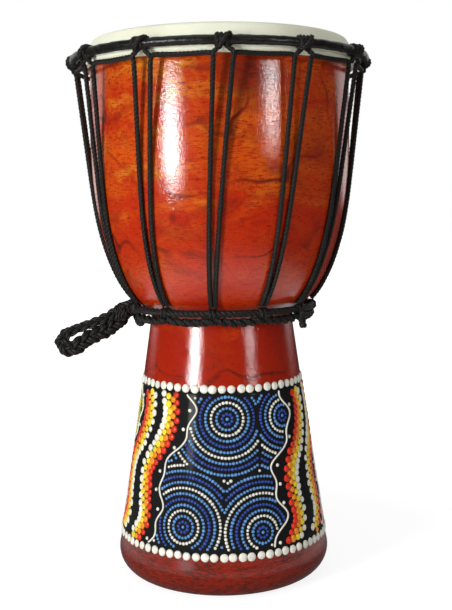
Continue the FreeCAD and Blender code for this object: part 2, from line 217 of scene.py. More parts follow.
def turned(outline, steps):
    """Turn a closed outline of (radius, height) points about Z."""
    bm = bmesh.new()
    verts = [bm.verts.new((radius, 0, z)) for radius, z in outline]
    edges = [bm.edges.new(pair) for pair in zip(verts, verts[1:] + verts[:1])]
    bmesh.ops.spin(bm, geom=verts + edges, cent=(0, 0, 0), axis=(0, 0, 1), dvec=(0, 0, 0),
                   angle=FULL_TURN, steps=steps, use_merge=True, use_duplicate=False)
    bmesh.ops.remove_doubles(bm, verts=bm.verts, dist=1e-7)
    bmesh.ops.recalc_face_normals(bm, faces=bm.faces)
    return bm


def arc(centre, radius, start, end, count):
    """Points of an arc in an outline; angles in degrees from outward, positive upward."""
    points = []
    for i in range(count + 1):
        a = math.radians(start + (end - start) * i / count)
        points.append((centre[0] + radius * math.cos(a), centre[1] + radius * math.sin(a)))
    return points


def bend(start, corner, end, count):
    """Points of a smooth bend that leaves start and reaches end along the lines to corner."""
    points = []
    for i in range(count + 1):
        t = i / count
        weights = ((1 - t) ** 2, 2 * t * (1 - t), t * t)
        points.append(tuple(sum(w * p[n] for w, p in zip(weights, (start, corner, end)))
                            for n in range(2)))
    return points


def spline_points(points, cyclic=False, resolution=10):
    """Points read from the smooth curve that a route's points steer."""
    curve = bpy.data.curves.new("route", "CURVE")
    curve.dimensions = "3D"
    curve.resolution_u = resolution
    spline = curve.splines.new("NURBS")
    spline.points.add(len(points) - 1)
    for control, place in zip(spline.points, points):
        control.co = (*place, 1.0)
    spline.order_u = 3
    spline.use_endpoint_u = not cyclic
    spline.use_cyclic_u = cyclic
    holder = bpy.data.objects.new("route", curve)
    mesh = bpy.data.meshes.new_from_object(holder)
    found = [vert.co.copy() for vert in mesh.vertices]
    bpy.data.objects.remove(holder)
    bpy.data.curves.remove(curve)
    bpy.data.meshes.remove(mesh)
    return found


def even(points, spacing, cyclic=False):
    """The same line with its points an even distance apart."""
    line = points + points[:1] if cyclic else points
    lengths = [0.0]
    for a, b in zip(line, line[1:]):
        lengths.append(lengths[-1] + (b - a).length)
    count = max(2, round(lengths[-1] / spacing))
    found = []
    i = 0
    for n in range(count if cyclic else count + 1):
        s = lengths[-1] * n / count
        while i < len(line) - 2 and lengths[i + 1] < s:
            i += 1
        span = lengths[i + 1] - lengths[i]
        found.append(line[i].lerp(line[i + 1], (s - lengths[i]) / span if span > 0 else 0.0))
    return found


def length_of(line):
    return sum((b - a).length for a, b in zip(line, line[1:]))


def carried_frames(points, up, cyclic=False):
    """Point, first and second cross directions along a line, carried along without twist."""
    frames = []
    last = len(points) - 1
    side = up
    for i, point in enumerate(points):
        before = points[i - 1] if i or cyclic else point
        after = points[(i + 1) % len(points)] if i < last or cyclic else point
        forward = (after - before).normalized()
        side = (side - forward * side.dot(forward)).normalized()
        frames.append((point, side.copy(), forward.cross(side)))
    return frames


def strand_lines(frames, spacing, count, offset):
    """Lines of a rope's strands. offset gives (aside, across) at a share of a full lay."""
    lines = []
    for k in range(count):
        line = []
        for i, (point, side, cross) in enumerate(frames):
            aside, across = offset(i * spacing, k / count)
            line.append(point + side * aside + cross * across)
        lines.append(line)
    return lines


def bevelled(name, lines, radius, sides=6, cyclic=False, swell=None):
    """Mesh of round strands along some lines. swell gives their thickness at a share of the length."""
    curve = bpy.data.curves.new(name, "CURVE")
    curve.dimensions = "3D"
    curve.bevel_depth = radius
    curve.bevel_resolution = sides // 2 - 2
    curve.use_fill_caps = not cyclic
    for line in lines:
        spline = curve.splines.new("POLY")
        spline.points.add(len(line) - 1)
        for i, (control, place) in enumerate(zip(spline.points, line)):
            control.co = (*place, 1.0)
            control.radius = swell(i / (len(line) - 1)) if swell else 1.0
        spline.use_cyclic_u = cyclic
    holder = bpy.data.objects.new(name, curve)
    mesh = bpy.data.meshes.new_from_object(holder)
    bpy.data.objects.remove(holder)
    bpy.data.curves.remove(curve)
    mesh.name = name
    mesh.polygons.foreach_set("use_smooth", [True] * len(mesh.polygons))
    return mesh


def laid_rope(name, points, diameter, lay, up=Vector((0, 0, 1)), cyclic=False, spacing=0.0013,
              swell=None):
    """Three-strand rope along a line."""
    strand = diameter * 0.33
    reach = diameter / 2 - strand * 0.62
    line = even(points, spacing, cyclic)
    total = length_of(line + line[:1] if cyclic else line)
    spaces = len(line) if cyclic else len(line) - 1
    if cyclic:
        lay = total / round(total / lay)

    def offset(s, share):
        turn = FULL_TURN * (s / lay + share)
        wide = reach * (swell(s / total) if swell else 1.0)
        return wide * math.cos(turn), wide * math.sin(turn)

    frames = carried_frames(line, up, cyclic)
    return bevelled(name, strand_lines(frames, total / spaces, 3, offset), strand, 6, cyclic, swell)


def joined(name, meshes):
    """One mesh of several."""
    bm = bmesh.new()
    for mesh in meshes:
        bm.from_mesh(mesh)
        bpy.data.meshes.remove(mesh)
    return mesh_from(bm, name)


def cord_piece(name, node, points, diameter, ropes, up):
    """A length of the lacing rope as a finished piece that stands for one node."""
    mesh = laid_rope(name, points, diameter, ropes.rope_lay, up)
    return drum_object(name, mesh, "drum", finish_named("black_cord"), [node])


# ---- materials ------------------------------------------------------------------------------------

class Finish:
    """A material's node tree, with short ways to add and join its nodes."""

    def __init__(self, name):
        self.material = bpy.data.materials.new(name)
        self.material.use_nodes = True
        self.tree = self.material.node_tree
        self.shader = self.tree.nodes["Principled BSDF"]

    def add(self, kind, inputs=(), **settings):
        """Add a node. inputs are (socket, value or output) pairs; settings are its properties."""
        node = self.tree.nodes.new("ShaderNode" + kind)
        for name, value in settings.items():
            setattr(node, name, value)
        self.fill(node, inputs)
        return node

    def fill(self, node, inputs):
        for socket, value in inputs:
            target = node.inputs[socket]
            if isinstance(value, bpy.types.NodeSocket):
                self.tree.links.new(value, target)
            elif target.type == "RGBA" and len(value) == 3:
                target.default_value = (*value, 1.0)
            else:
                target.default_value = value

    def place(self, scale=(1.0, 1.0, 1.0), turn=(0.0, 0.0, 0.0), source="Object"):
        """Coordinates on the piece, stretched and turned."""
        where = self.add("TexCoord").outputs[source]
        return self.add("Mapping", [("Vector", where), ("Scale", scale),
                                    ("Rotation", turn)]).outputs["Vector"]

    def noise(self, where, scale, detail=4.0, roughness=0.55, distortion=0.0):
        return self.add("TexNoise", [("Vector", where), ("Scale", scale), ("Detail", detail),
                                     ("Roughness", roughness),
                                     ("Distortion", distortion)]).outputs["Fac"]

    def level(self, value, low, high, out_low=0.0, out_high=1.0):
        """Stretch a value from low-high to out_low-out_high, with no overshoot."""
        return self.add("MapRange", [("Value", value), ("From Min", low), ("From Max", high),
                                     ("To Min", out_low), ("To Max", out_high)]).outputs["Result"]

    def mix(self, share, first, second, blend="MIX"):
        node = self.add("Mix", data_type="RGBA", blend_type=blend)
        self.fill(node, [(0, share), (6, first), (7, second)])
        return node.outputs[2]

    def math(self, operation, first, second=0.0):
        return self.add("Math", [(0, first), (1, second)], operation=operation).outputs[0]

    def bump(self, height, strength, distance, normal=None):
        inputs = [("Height", height), ("Strength", strength), ("Distance", distance)]
        if normal is not None:
            inputs.append(("Normal", normal))
        return self.add("Bump", inputs).outputs["Normal"]

    def finish(self, inputs):
        self.fill(self.shader, inputs)
        return self.material


MATERIALS = {}


def finish_named(name):
    """The material of that name, made at its first use."""
    if name not in MATERIALS:
        MATERIALS[name] = MAKERS[name](name)
    return MATERIALS[name]


# dark knots in the wood: place, reach in metres and depth of colour
KNOTS = [
    ((0.022, -0.093, 0.366), 0.024, 0.80),
    ((-0.032, -0.086, 0.272), 0.0045, 0.85),
    ((0.065, -0.065, 0.318), 0.016, 0.45),
    ((-0.060, 0.074, 0.350), 0.020, 0.70),
    ((0.040, 0.085, 0.262), 0.006, 0.80),
]


def varnished_wood(name):
    """Orange-red stain over growth rings, flecks and pores, under gloss varnish; painted shade leaves fewer gold
    patches towards +X, away from the key light.
    """
    colours = bpy.context.scene.drum_colours
    f = Finish(name)
    where = f.place()
    patches = f.noise(f.place((1.0, 1.0, 1.6)), 15.0, 4.0, 0.55, 0.8)
    colour = f.mix(f.level(patches, 0.36, 0.62), colours.stain_mid, colours.stain_light)
    glow = f.noise(f.place((1.0, 1.0, 2.2), (0.3, 0.2, 0.0)), 26.0, 3.0, 0.6, 0.4)
    aside = f.add("SeparateXYZ", [("Vector", where)]).outputs["X"]
    # painted shade: the gold patches fade out towards +X, the side away from the key light, so that side reads
    # darker
    gold_on_lit_side = f.level(aside, -0.01, 0.06, 0.85, 0.15)
    colour = f.mix(f.math("MULTIPLY", f.level(glow, 0.52, 0.74), gold_on_lit_side), colour, colours.stain_gold)
    height = f.add("SeparateXYZ", [("Vector", where)]).outputs["Z"]
    sunk = f.math("ADD", height, f.level(patches, 0.3, 0.7, -0.03, 0.03))
    colour = f.mix(f.level(sunk, 0.292, 0.272, 0.0, 0.72), colour, colours.stain_mid)
    colour = f.mix(f.level(sunk, 0.215, 0.19, 0.0, 0.72), colour, colours.stain_stem)
    colour = f.mix(f.level(sunk, 0.08, 0.02, 0.0, 0.92), colour, colours.stain_foot)
    heart = f.add("Mapping", [("Vector", where), ("Location", (0.004, 0.0, -0.352)),
                              ("Scale", (0.80, 1.0, 1.0))]).outputs["Vector"]
    rings = f.add("TexWave", [("Vector", heart), ("Scale", 7.2), ("Distortion", 2.4), ("Detail", 0.5),
                              ("Detail Scale", 7.0), ("Detail Roughness", 0.4)],
                  wave_type="RINGS", rings_direction="Y", wave_profile="SIN").outputs["Fac"]
    fade = f.level(f.noise(where, 22.0, 3.0), 0.42, 0.60, 0.05, 0.90)
    line = f.math("MULTIPLY", f.level(rings, 0.978, 1.0), fade)
    colour = f.mix(line, colour, colours.stain_dark)
    cloud = f.noise(f.place((1.0, 1.0, 1.7), (0.0, 0.2, 0.3)), 13.0, 5.0, 0.65, 1.2)
    colour = f.mix(f.level(cloud, 0.56, 0.76, 0.0, 0.85), colour, colours.stain_dark)
    for place, reach, depth in KNOTS:
        away = f.add("VectorMath", [(0, where), (1, place)], operation="DISTANCE").outputs["Value"]
        away = f.math("ADD", away, f.level(cloud, 0.3, 0.7, -0.35 * reach, 0.35 * reach))
        colour = f.mix(f.level(away, 0.25 * reach, reach, depth, 0.0), colour, colours.stain_dark)
    pores = f.noise(f.place((1.0, 1.0, 0.24), (0.10, 0.08, 0.0)), 1050.0, 2.0, 0.75)
    flecks = f.level(f.noise(where, 34.0, 2.0), 0.40, 0.64, 0.10, 0.50)
    colour = f.mix(f.math("MULTIPLY", f.level(pores, 0.51, 0.64), flecks), colour, colours.stain_dark)
    fine = f.noise(f.place((0.40, 0.40, 1.7), (0.15, 0.1, 0.0)), 520.0, 4.0, 0.70, 0.3)
    colour = f.mix(f.level(fine, 0.46, 0.62, 0.0, 0.75), colour, colours.stain_mid)
    colour = f.mix(f.level(fine, 0.53, 0.70, 0.0, 0.70), colour, colours.stain_dark)
    ripple = f.noise(f.place((0.8, 0.8, 1.0), (0.25, 0.1, 0.0)), 560.0, 3.0, 0.65)
    sway = f.noise(f.place((1.0, 1.0, 0.7)), 95.0, 2.0, 0.5)
    normal = f.bump(pores, 0.30, 0.0006, f.bump(sway, 0.08, 0.0012))
    coat = f.bump(sway, 0.07, 0.0012)
    coat = f.bump(pores, 0.10, 0.0005, f.bump(ripple, 0.28, 0.0006, coat))
    return f.finish([("Base Color", colour), ("Roughness", f.level(pores, 0.3, 0.7, 0.40, 0.55)),
                     ("Normal", normal), ("Specular IOR Level", 0.06), ("Coat Weight", 1.0),
                     ("Coat Roughness", 0.05), ("Coat IOR", 1.58), ("Coat Normal", coat)])


def bare_wood(name):
    """Unvarnished inside of the shell, with turning marks."""
    colours = bpy.context.scene.drum_colours
    f = Finish(name)
    grain = f.noise(f.place((1.0, 1.0, 0.08)), 260.0, 5.0, 0.65)
    colour = f.mix(f.level(grain, 0.35, 0.7), colours.bare_wood, (0.20, 0.10, 0.05))
    marks = f.noise(f.place((0.1, 0.1, 3.0)), 160.0, 2.0)
    return f.finish([("Base Color", colour), ("Roughness", f.level(grain, 0.3, 0.7, 0.7, 0.9)),
                     ("Normal", f.bump(marks, 0.4, 0.0008))])


def goatskin(name):
    """Dry cream skin: cloudy, with a faint darker spine and fine hair pores."""
    colours = bpy.context.scene.drum_colours
    f = Finish(name)
    clouds = f.noise(f.place(), 14.0, 5.0, 0.6, 0.5)
    colour = f.mix(f.level(clouds, 0.45, 0.85, 0.0, 0.65), colours.skin, colours.skin_dark)
    across = f.add("SeparateXYZ", [("Vector", f.place((1.0, 1.0, 1.0), (0.0, 0.0, 0.5)))])
    spine = f.math("ABSOLUTE", across.outputs["X"])
    spine = f.math("ADD", spine, f.level(clouds, 0.3, 0.7, -0.006, 0.006))
    colour = f.mix(f.level(spine, 0.002, 0.020, 0.34, 0.0), colour, colours.skin_dark)
    hairs = f.add("TexVoronoi", [("Vector", f.place((1.0, 0.6, 1.0), (0.0, 0.0, 0.5))),
                                 ("Scale", 700.0)]).outputs["Distance"]
    colour = f.mix(f.level(hairs, 0.02, 0.16, 0.30, 0.0), colour, colours.skin_dark)
    wrinkles = f.noise(f.place(), 90.0, 5.0, 0.6)
    normal = f.bump(hairs, 0.10, 0.0002, f.bump(wrinkles, 0.25, 0.0010))
    return f.finish([("Base Color", colour), ("Roughness", f.level(clouds, 0.3, 0.7, 0.50, 0.66)),
                     ("Normal", normal), ("Subsurface Weight", 0.08), ("Subsurface Scale", 0.002)])


def cord_finish(name, colour, gloss, fibre_turn):
    """Synthetic cord: dark fibres that run along each strand, with a slight sheen."""
    f = Finish(name)
    fibres = f.noise(f.place((1400.0, 26.0, 1.0), (0.0, 0.0, fibre_turn), "UV"), 1.0, 2.0, 0.6)
    fuzz = f.noise(f.place(), 900.0, 3.0, 0.7)
    pale = tuple(min(1.0, channel * 3.4 + 0.006) for channel in colour)
    shade = f.mix(f.level(fibres, 0.45, 0.80), tuple(colour), pale)
    shade = f.mix(f.level(fuzz, 0.62, 0.85, 0.0, 0.5), shade, pale)
    normal = f.bump(fuzz, 0.35, 0.0004)
    return f.finish([("Base Color", shade), ("Roughness", f.level(fuzz, 0.3, 0.7, gloss, gloss + 0.2)),
                     ("Normal", normal), ("Specular IOR Level", 0.30),
                     ("Sheen Weight", 0.02), ("Sheen Roughness", 0.5)])


def black_cord(name):
    return cord_finish(name, bpy.context.scene.drum_colours.cord, 0.40, 0.5)


def black_cloth(name):
    """Tape winding of the crown ring: fine weave that follows the ring."""
    colour = tuple(bpy.context.scene.drum_colours.cloth)
    f = Finish(name)
    fuzz = f.noise(f.place(), 700.0, 3.0, 0.7)
    folds = f.noise(f.place(), 140.0, 3.0, 0.6)
    pale = tuple(channel * 2.6 + 0.004 for channel in colour)
    shade = f.mix(f.level(folds, 0.40, 0.75), colour, pale)
    creases = f.noise(f.place(), 360.0, 2.0, 0.6)
    normal = f.bump(fuzz, 0.25, 0.0003, f.bump(creases, 0.55, 0.0006, f.bump(folds, 0.30, 0.0008)))
    return f.finish([("Base Color", shade), ("Roughness", f.level(fuzz, 0.3, 0.7, 0.22, 0.46)),
                     ("Normal", normal), ("Specular IOR Level", 0.42),
                     ("Sheen Weight", 0.02), ("Sheen Roughness", 0.5)])


def hoop_steel(name):
    """Plain steel rod with mill marks."""
    f = Finish(name)
    marks = f.noise(f.place((1.0, 1.0, 6.0)), 260.0, 4.0, 0.6)
    colour = f.mix(marks, (0.42, 0.42, 0.43), (0.62, 0.62, 0.62))
    return f.finish([("Base Color", colour), ("Metallic", 1.0),
                     ("Roughness", f.level(marks, 0.3, 0.7, 0.30, 0.45))])


def paint(name):
    """Raised acrylic dot paint under lacquer, a little uneven in colour from dot to dot."""
    colour = tuple(SLOT_COLOURS[name][:3])
    deep = tuple(channel * 0.72 for channel in colour)
    f = Finish(name)
    patches = f.noise(f.place(), 170.0, 2.0, 0.5)
    shade = f.mix(f.level(patches, 0.40, 0.75, 0.0, 0.8), colour, deep)
    fine = f.noise(f.place(), 900.0, 3.0, 0.6)
    return f.finish([("Base Color", shade), ("Roughness", f.level(fine, 0.3, 0.7, 0.24, 0.40)),
                     ("Normal", f.bump(fine, 0.12, 0.0004)), ("Specular IOR Level", 0.30),
                     ("Coat Weight", 0.20), ("Coat Roughness", 0.10)])


def ground_paint(name):
    """Black ground of the painted band, brushed round the foot, under lacquer."""
    colour = tuple(SLOT_COLOURS[name][:3])
    f = Finish(name)
    brush = f.noise(f.place((0.25, 0.25, 4.0)), 120.0, 4.0, 0.6)
    shade = f.mix(f.level(brush, 0.40, 0.80), colour, (0.012, 0.011, 0.011))
    return f.finish([("Base Color", shade), ("Roughness", f.level(brush, 0.3, 0.7, 0.62, 0.80)),
                     ("Normal", f.bump(brush, 0.12, 0.0006)), ("Specular IOR Level", 0.05),
                     ("Coat Weight", 0.05), ("Coat Roughness", 0.10)])


MAKERS = {
    "varnished_wood": varnished_wood,
    "bare_wood": bare_wood,
    "goatskin": goatskin,
    "black_cord": black_cord,
    "black_cloth": black_cloth,
    "hoop_steel": hoop_steel,
    "ground_paint": ground_paint,
}
for colour_name in ("white", "yellow", "orange", "red", "light_blue", "dark_blue", "magenta", "green"):
    MAKERS[colour_name + "_paint"] = paint


# ---- shell ----------------------------------------------------------------------------------------

def bowl_point(sizes, seat, lift=0.0):
    """Radius and height on the bowl's underside, lifted off the wood. seat is 90 degrees at its lowest."""
    belly_height = SHELL_TOP - sizes.belly_drop
    depth = belly_height - sizes.neck_height
    normal = Vector((math.cos(seat) / sizes.bowl_round, -math.sin(seat) / depth)).normalized()
    radius = BELLY_RADIUS - sizes.bowl_round * (1 - math.cos(seat)) + lift * normal.x
    return radius, belly_height - depth * math.sin(seat) + lift * normal.y


def neck_point(sizes):
    """Radius and height at which the bowl's round meets the stem."""
    reach = sizes.neck_radius - (BELLY_RADIUS - sizes.bowl_round)
    return bowl_point(sizes, math.acos(reach / sizes.bowl_round))


def flank_radius(sizes, z):
    """Outside of the stem at a height."""
    neck_radius, neck_height = neck_point(sizes)
    share = 1 - z / neck_height
    straight = neck_radius + (sizes.foot_radius - neck_radius) * share
    return straight - sizes.stem_hollow * 4 * share * (1 - share)


def flank_slope(sizes):
    """Angle by which the stem's flank leans out from upright."""
    neck_radius, neck_height = neck_point(sizes)
    return math.atan2(sizes.foot_radius - neck_radius, neck_height)


def shell_outline(sizes):
    """Outside from the bearing edge down to the base, then the inside back up."""
    rim = sizes.rim_radius
    edge = sizes.edge_round
    inner = sizes.inner_round
    belly_height = SHELL_TOP - sizes.belly_drop
    points = arc((rim - edge, SHELL_TOP - edge), edge, 90, 0, 6)
    bulge = BELLY_RADIUS - rim
    rise = SHELL_TOP - edge - belly_height
    side = (bulge * bulge + rise * rise) / (2 * bulge)
    top = math.degrees(math.asin(rise / side))
    points += arc((BELLY_RADIUS - side, belly_height), side, top, 0, 14)[1:]
    neck_radius, neck_height = neck_point(sizes)
    hollow = sizes.neck_hollow
    last_seat = math.acos((neck_radius + hollow - BELLY_RADIUS + sizes.bowl_round) / sizes.bowl_round)
    points += [bowl_point(sizes, last_seat * i / 44) for i in range(1, 45)]
    below = neck_height - hollow
    points += bend(points[-1], (neck_radius, neck_height), (flank_radius(sizes, below), below), 8)[1:]
    lean = math.degrees(flank_slope(sizes))
    toe = sizes.foot_round * math.tan(math.radians(45 + lean / 2))
    toe_centre = (sizes.foot_radius - toe, sizes.foot_round)
    toe_top = toe_centre[1] + sizes.foot_round * math.sin(math.radians(lean))
    flank = [below + (toe_top - below) * i / 40 for i in range(1, 40)]
    points += [(flank_radius(sizes, z), z) for z in flank]
    points += arc(toe_centre, sizes.foot_round, lean, -90, 14)
    mouth_centre = (sizes.mouth_radius + inner, inner)
    points += arc(mouth_centre, inner, 270, 180, 5)
    points += [(sizes.throat_radius, sizes.throat_end)]
    wide = BELLY_RADIUS - sizes.wall - sizes.throat_radius
    floor = sizes.neck_height + sizes.floor_rise
    deep = belly_height - floor
    for i in range(25):
        t = math.radians(90 - 90 * i / 24)
        points.append((sizes.throat_radius + wide * math.cos(t), belly_height - deep * math.sin(t)))
    points += arc((rim - sizes.wall + inner, SHELL_TOP - inner), inner, 180, 90, 5)
    return points


class DRUM_OT_shell(bpy.types.Operator):
    """Turn the wooden shell, varnished outside and bare inside"""

    bl_idname = "drum.shell"
    bl_label = "Shell"

    def execute(self, context):
        sizes = context.scene.shell_sizes
        bm = turned(shell_outline(sizes), 168)
        for face in bm.faces:
            middle = face.calc_center_median()
            faces_in = face.normal.xy.dot(middle.xy) < 0
            under_edge = middle.z < SHELL_TOP - sizes.inner_round
            within = middle.xy.length < BELLY_RADIUS - sizes.wall * 0.5
            below_bowl = middle.z <= sizes.neck_height
            face.material_index = 1 if faces_in and (below_bowl or under_edge and within) else 0
        mesh = mesh_from(bm, "turned_shell")
        materials = [finish_named("varnished_wood"), finish_named("bare_wood")]
        drum_object("turned_shell", mesh, "drum", materials, ["shell"])
        return {"FINISHED"}


# ---- head and rings -------------------------------------------------------------------------------

class DRUM_OT_head(bpy.types.Operator):
    """Stretch the goatskin over the bearing edge and round the flesh hoop"""

    bl_idname = "drum.head"
    bl_label = "Drumhead"

    def execute(self, context):
        sizes = context.scene.shell_sizes
        edge = sizes.edge_round
        centre = (sizes.rim_radius - edge, SHELL_TOP - edge)
        hoop = (HOOP_RADIUS, HOOP_HEIGHT)
        near = HOOP_THICK / 2 + 0.05 * MM
        far = near + sizes.skin
        across = Vector((hoop[0] - centre[0], hoop[1] - centre[1]))
        slope = math.degrees(math.atan2(across.y, across.x) + math.acos((edge - near) / across.length))
        flap = hoop[1] + 7 * MM
        outline = [(centre[0] * i / 12, DRUM_TOP) for i in range(12)]
        outline += arc(centre, edge + sizes.skin, 90, slope, 8)
        outline += arc(hoop, far, slope, -180, 18)
        outline += [(hoop[0] - far, flap), (hoop[0] - near, flap)]
        outline += arc(hoop, near, -180, slope, 12)
        outline += arc(centre, edge, slope, 90, 6)
        outline += [(0.0, SHELL_TOP)]
        bm = turned(outline, 180)
        for vert in bm.verts:
            if vert.co.z > hoop[1] - far and vert.co.xy.length > hoop[0] - 3 * near:
                angle = math.atan2(vert.co.x, -vert.co.y)
                gather = noise.noise(Vector((math.sin(angle) * 9, math.cos(angle) * 9, 0.0)))
                away = vert.co.xy.length - hoop[0]
                vert.co.z += 0.25 * MM * gather * max(0.0, away / far)
        mesh = mesh_from(bm, "goatskin_head")
        drum_object("goatskin_head", mesh, "drum", finish_named("goatskin"), ["drumhead"])
        return {"FINISHED"}


class DRUM_OT_rings(bpy.types.Operator):
    """Wind the crown ring with cloth tape and the lower ring with cord"""

    bl_idname = "drum.rings"
    bl_label = "Rings"

    def execute(self, context):
        thick = CROWN_THICK / 2 + 0.4 * MM
        bm = bmesh.new()
        bmesh.ops.create_circle(bm, segments=16, radius=thick, matrix=Matrix.Translation(
            (CROWN_RADIUS, 0, CROWN_HEIGHT)) @ Matrix.Rotation(math.pi / 2, 4, "X"))
        bmesh.ops.spin(bm, geom=bm.verts[:] + bm.edges[:], cent=(0, 0, 0), axis=(0, 0, 1),
                       dvec=(0, 0, 0), angle=FULL_TURN, steps=540, use_merge=True)
        bmesh.ops.remove_doubles(bm, verts=bm.verts, dist=1e-7)
        bmesh.ops.recalc_face_normals(bm, faces=bm.faces)
        wraps = 46
        for vert in bm.verts:
            angle = math.atan2(vert.co.x, -vert.co.y)
            middle = at(CROWN_RADIUS, angle, CROWN_HEIGHT)
            off = vert.co - middle
            about = math.atan2(off.z, off.dot(outward(angle)))
            phase = (angle * wraps + about) / FULL_TURN
            phase += 0.25 * noise.noise(Vector((math.sin(angle) * 6, math.cos(angle) * 6, 0.3)))
            ridge = phase % 1.0
            lap = 0.26 * MM * (1 - ridge) if ridge > 0.12 else 0.26 * MM * ridge / 0.12 * 0.88
            crease = 0.22 * MM * noise.noise(vert.co * 260)
            vert.co = middle + off * (1 + (lap + crease - 0.10 * MM) / thick)
        mesh = mesh_from(bm, "crown_ring_tape")
        drum_object("crown_ring_tape", mesh, "drum", finish_named("black_cloth"),
                    ["crown_ring_winding"])
        circle = [at(LOWER_RADIUS, FULL_TURN * i / 240, LOWER_HEIGHT) for i in range(240)]
        mesh = laid_rope("lower_ring_cord", circle, LOWER_THICK * 1.12, 0.0115, cyclic=True)
        drum_object("lower_ring_cord", mesh, "drum", finish_named("black_cord"),
                    ["lower_ring_winding"])
        for node in ("flesh_hoop", "crown_ring", "lower_ring"):
            slots = frame["nodes"][node].data.materials
            slots.clear()
            slots.append(finish_named("hoop_steel"))
        return {"FINISHED"}


# ---- lacing ---------------------------------------------------------------------------------------

def crown_angle(station):
    return FIRST_STATION + station * STEP


def lower_angle(station):
    return crown_angle(station) + LOWER_TURN


def near_ring(radius, z, angle, place):
    """Point beside a ring from (along, out, up)."""
    along, out, up = place
    return at(radius + out, angle + along / radius, z + up)


def turns_round(start, end, along_from, along_to, reach, count=14):
    """Places on a helix round a ring; start and end are in degrees, 0 outward and 90 up."""
    places = []
    steps = max(2, round(abs(end - start) / 360 * count))
    for i in range(steps + 1):
        share = i / steps
        turn = math.radians(start + (end - start) * share)
        ease = share * share * (3 - 2 * share)
        along = along_from + (along_to - along_from) * ease
        out = reach(share) if callable(reach) else reach
        places.append((along, out * math.cos(turn), out * math.sin(turn)))
    return places


def run_height(ropes):
    return SHELL_TOP - ropes.run_drop


def hitch_places(ropes):
    """One crown hitch: up a leg, two turns, a crossing over the front, two turns, down the other leg."""
    reach = CROWN_THICK / 2 + ropes.rope * 0.16
    inner = ropes.turn_pitch / 2
    outer = inner + ropes.turn_pitch
    foot_along = ropes.leg_spread * CROWN_RADIUS
    foot_out = ropes.run_radius - CROWN_RADIUS
    foot_up = run_height(ropes) - CROWN_HEIGHT
    over = reach + ropes.rope * 0.70
    leg = [(-foot_along * 0.98, foot_out + 1.2 * MM, foot_up - 0.6 * MM),
           (-foot_along * 0.93, foot_out + 2.1 * MM, foot_up + 0.7 * MM),
           (-foot_along * 0.62, foot_out + 1.6 * MM, foot_up + 1.9 * MM)]
    places = list(leg)
    places += turns_round(-90, 250, -inner, -inner - 0.4 * MM, reach)
    places += turns_round(276, 600, -outer + 0.3 * MM, -outer, reach)
    places += turns_round(625, 800, -outer, outer, lambda share: reach + (over - reach)
                          * math.sin(math.pi * min(1.0, share * 1.05)) ** 0.5)
    places += turns_round(825, 990, outer, outer, reach)
    places += turns_round(1010, 1330, inner + 0.4 * MM, inner, reach)
    places += [(-along, out, up) for along, out, up in reversed(leg)]
    return places


def tangents_cross(sizes, first, second, lift):
    """Where the tangents of the rope's curve at two seat angles cross, as (radius, height)."""
    lines = []
    for seat in (first, second):
        on = Vector(bowl_point(sizes, seat))
        normal = Vector(bowl_point(sizes, seat, 1.0)) - on
        lines.append((normal, normal.dot(Vector(bowl_point(sizes, seat, lift)))))
    (n1, c1), (n2, c2) = lines
    det = n1.x * n2.y - n1.y * n2.x
    return (c1 * n2.y - c2 * n1.y) / det, (n1.x * c2 - n2.x * c1) / det


def tangent_seat(sizes, ropes, lift):
    """Seat angle at which a rope that comes straight down from its corner first bears."""
    low, high = 0.0, ropes.seat
    corner = Vector((ropes.run_radius, run_height(ropes)))
    while high - low > 1e-4:
        middle = (low + high) / 2
        on = Vector(bowl_point(sizes, middle, lift))
        normal = Vector(bowl_point(sizes, middle, 1.0)) - Vector(bowl_point(sizes, middle))
        if (corner - on).dot(normal) > 0:
            low = middle
        else:
            high = middle
    return low


def descent(sizes, ropes, station, side):
    """Route of one rope from its lower hitch up to the corner beside its crown hitch."""
    lift = ropes.rope / 2 + ropes.lift
    end_seat = ropes.seat - math.radians(3.0)
    first = tangent_seat(sizes, ropes, lift)
    seats = [first + (end_seat - first) * i / 4 for i in range(5)]
    outline = [bowl_point(sizes, end_seat, lift)]
    for higher, lower in reversed(list(zip(seats, seats[1:]))):
        outline.append(tangents_cross(sizes, higher, lower, lift))
    low_height = outline[0][1]
    top = run_height(ropes)
    corner = Vector((ropes.run_radius, top))
    straight = Vector(outline[-1])
    outline.append(tuple(straight.lerp(corner, 0.5)))
    outline.append(tuple(corner + (straight - corner).normalized() * 7 * MM))
    top_angle = crown_angle(station) + side * ropes.leg_spread
    foot_angle = lower_angle(station) + side * 1.6 * MM / LOWER_RADIUS
    points = []
    for radius, height in outline:
        share = (height - low_height) / (top - low_height)
        points.append(at(radius, foot_angle + (top_angle - foot_angle) * share, height))
    points.append(at(ropes.run_radius, top_angle, top))
    return points


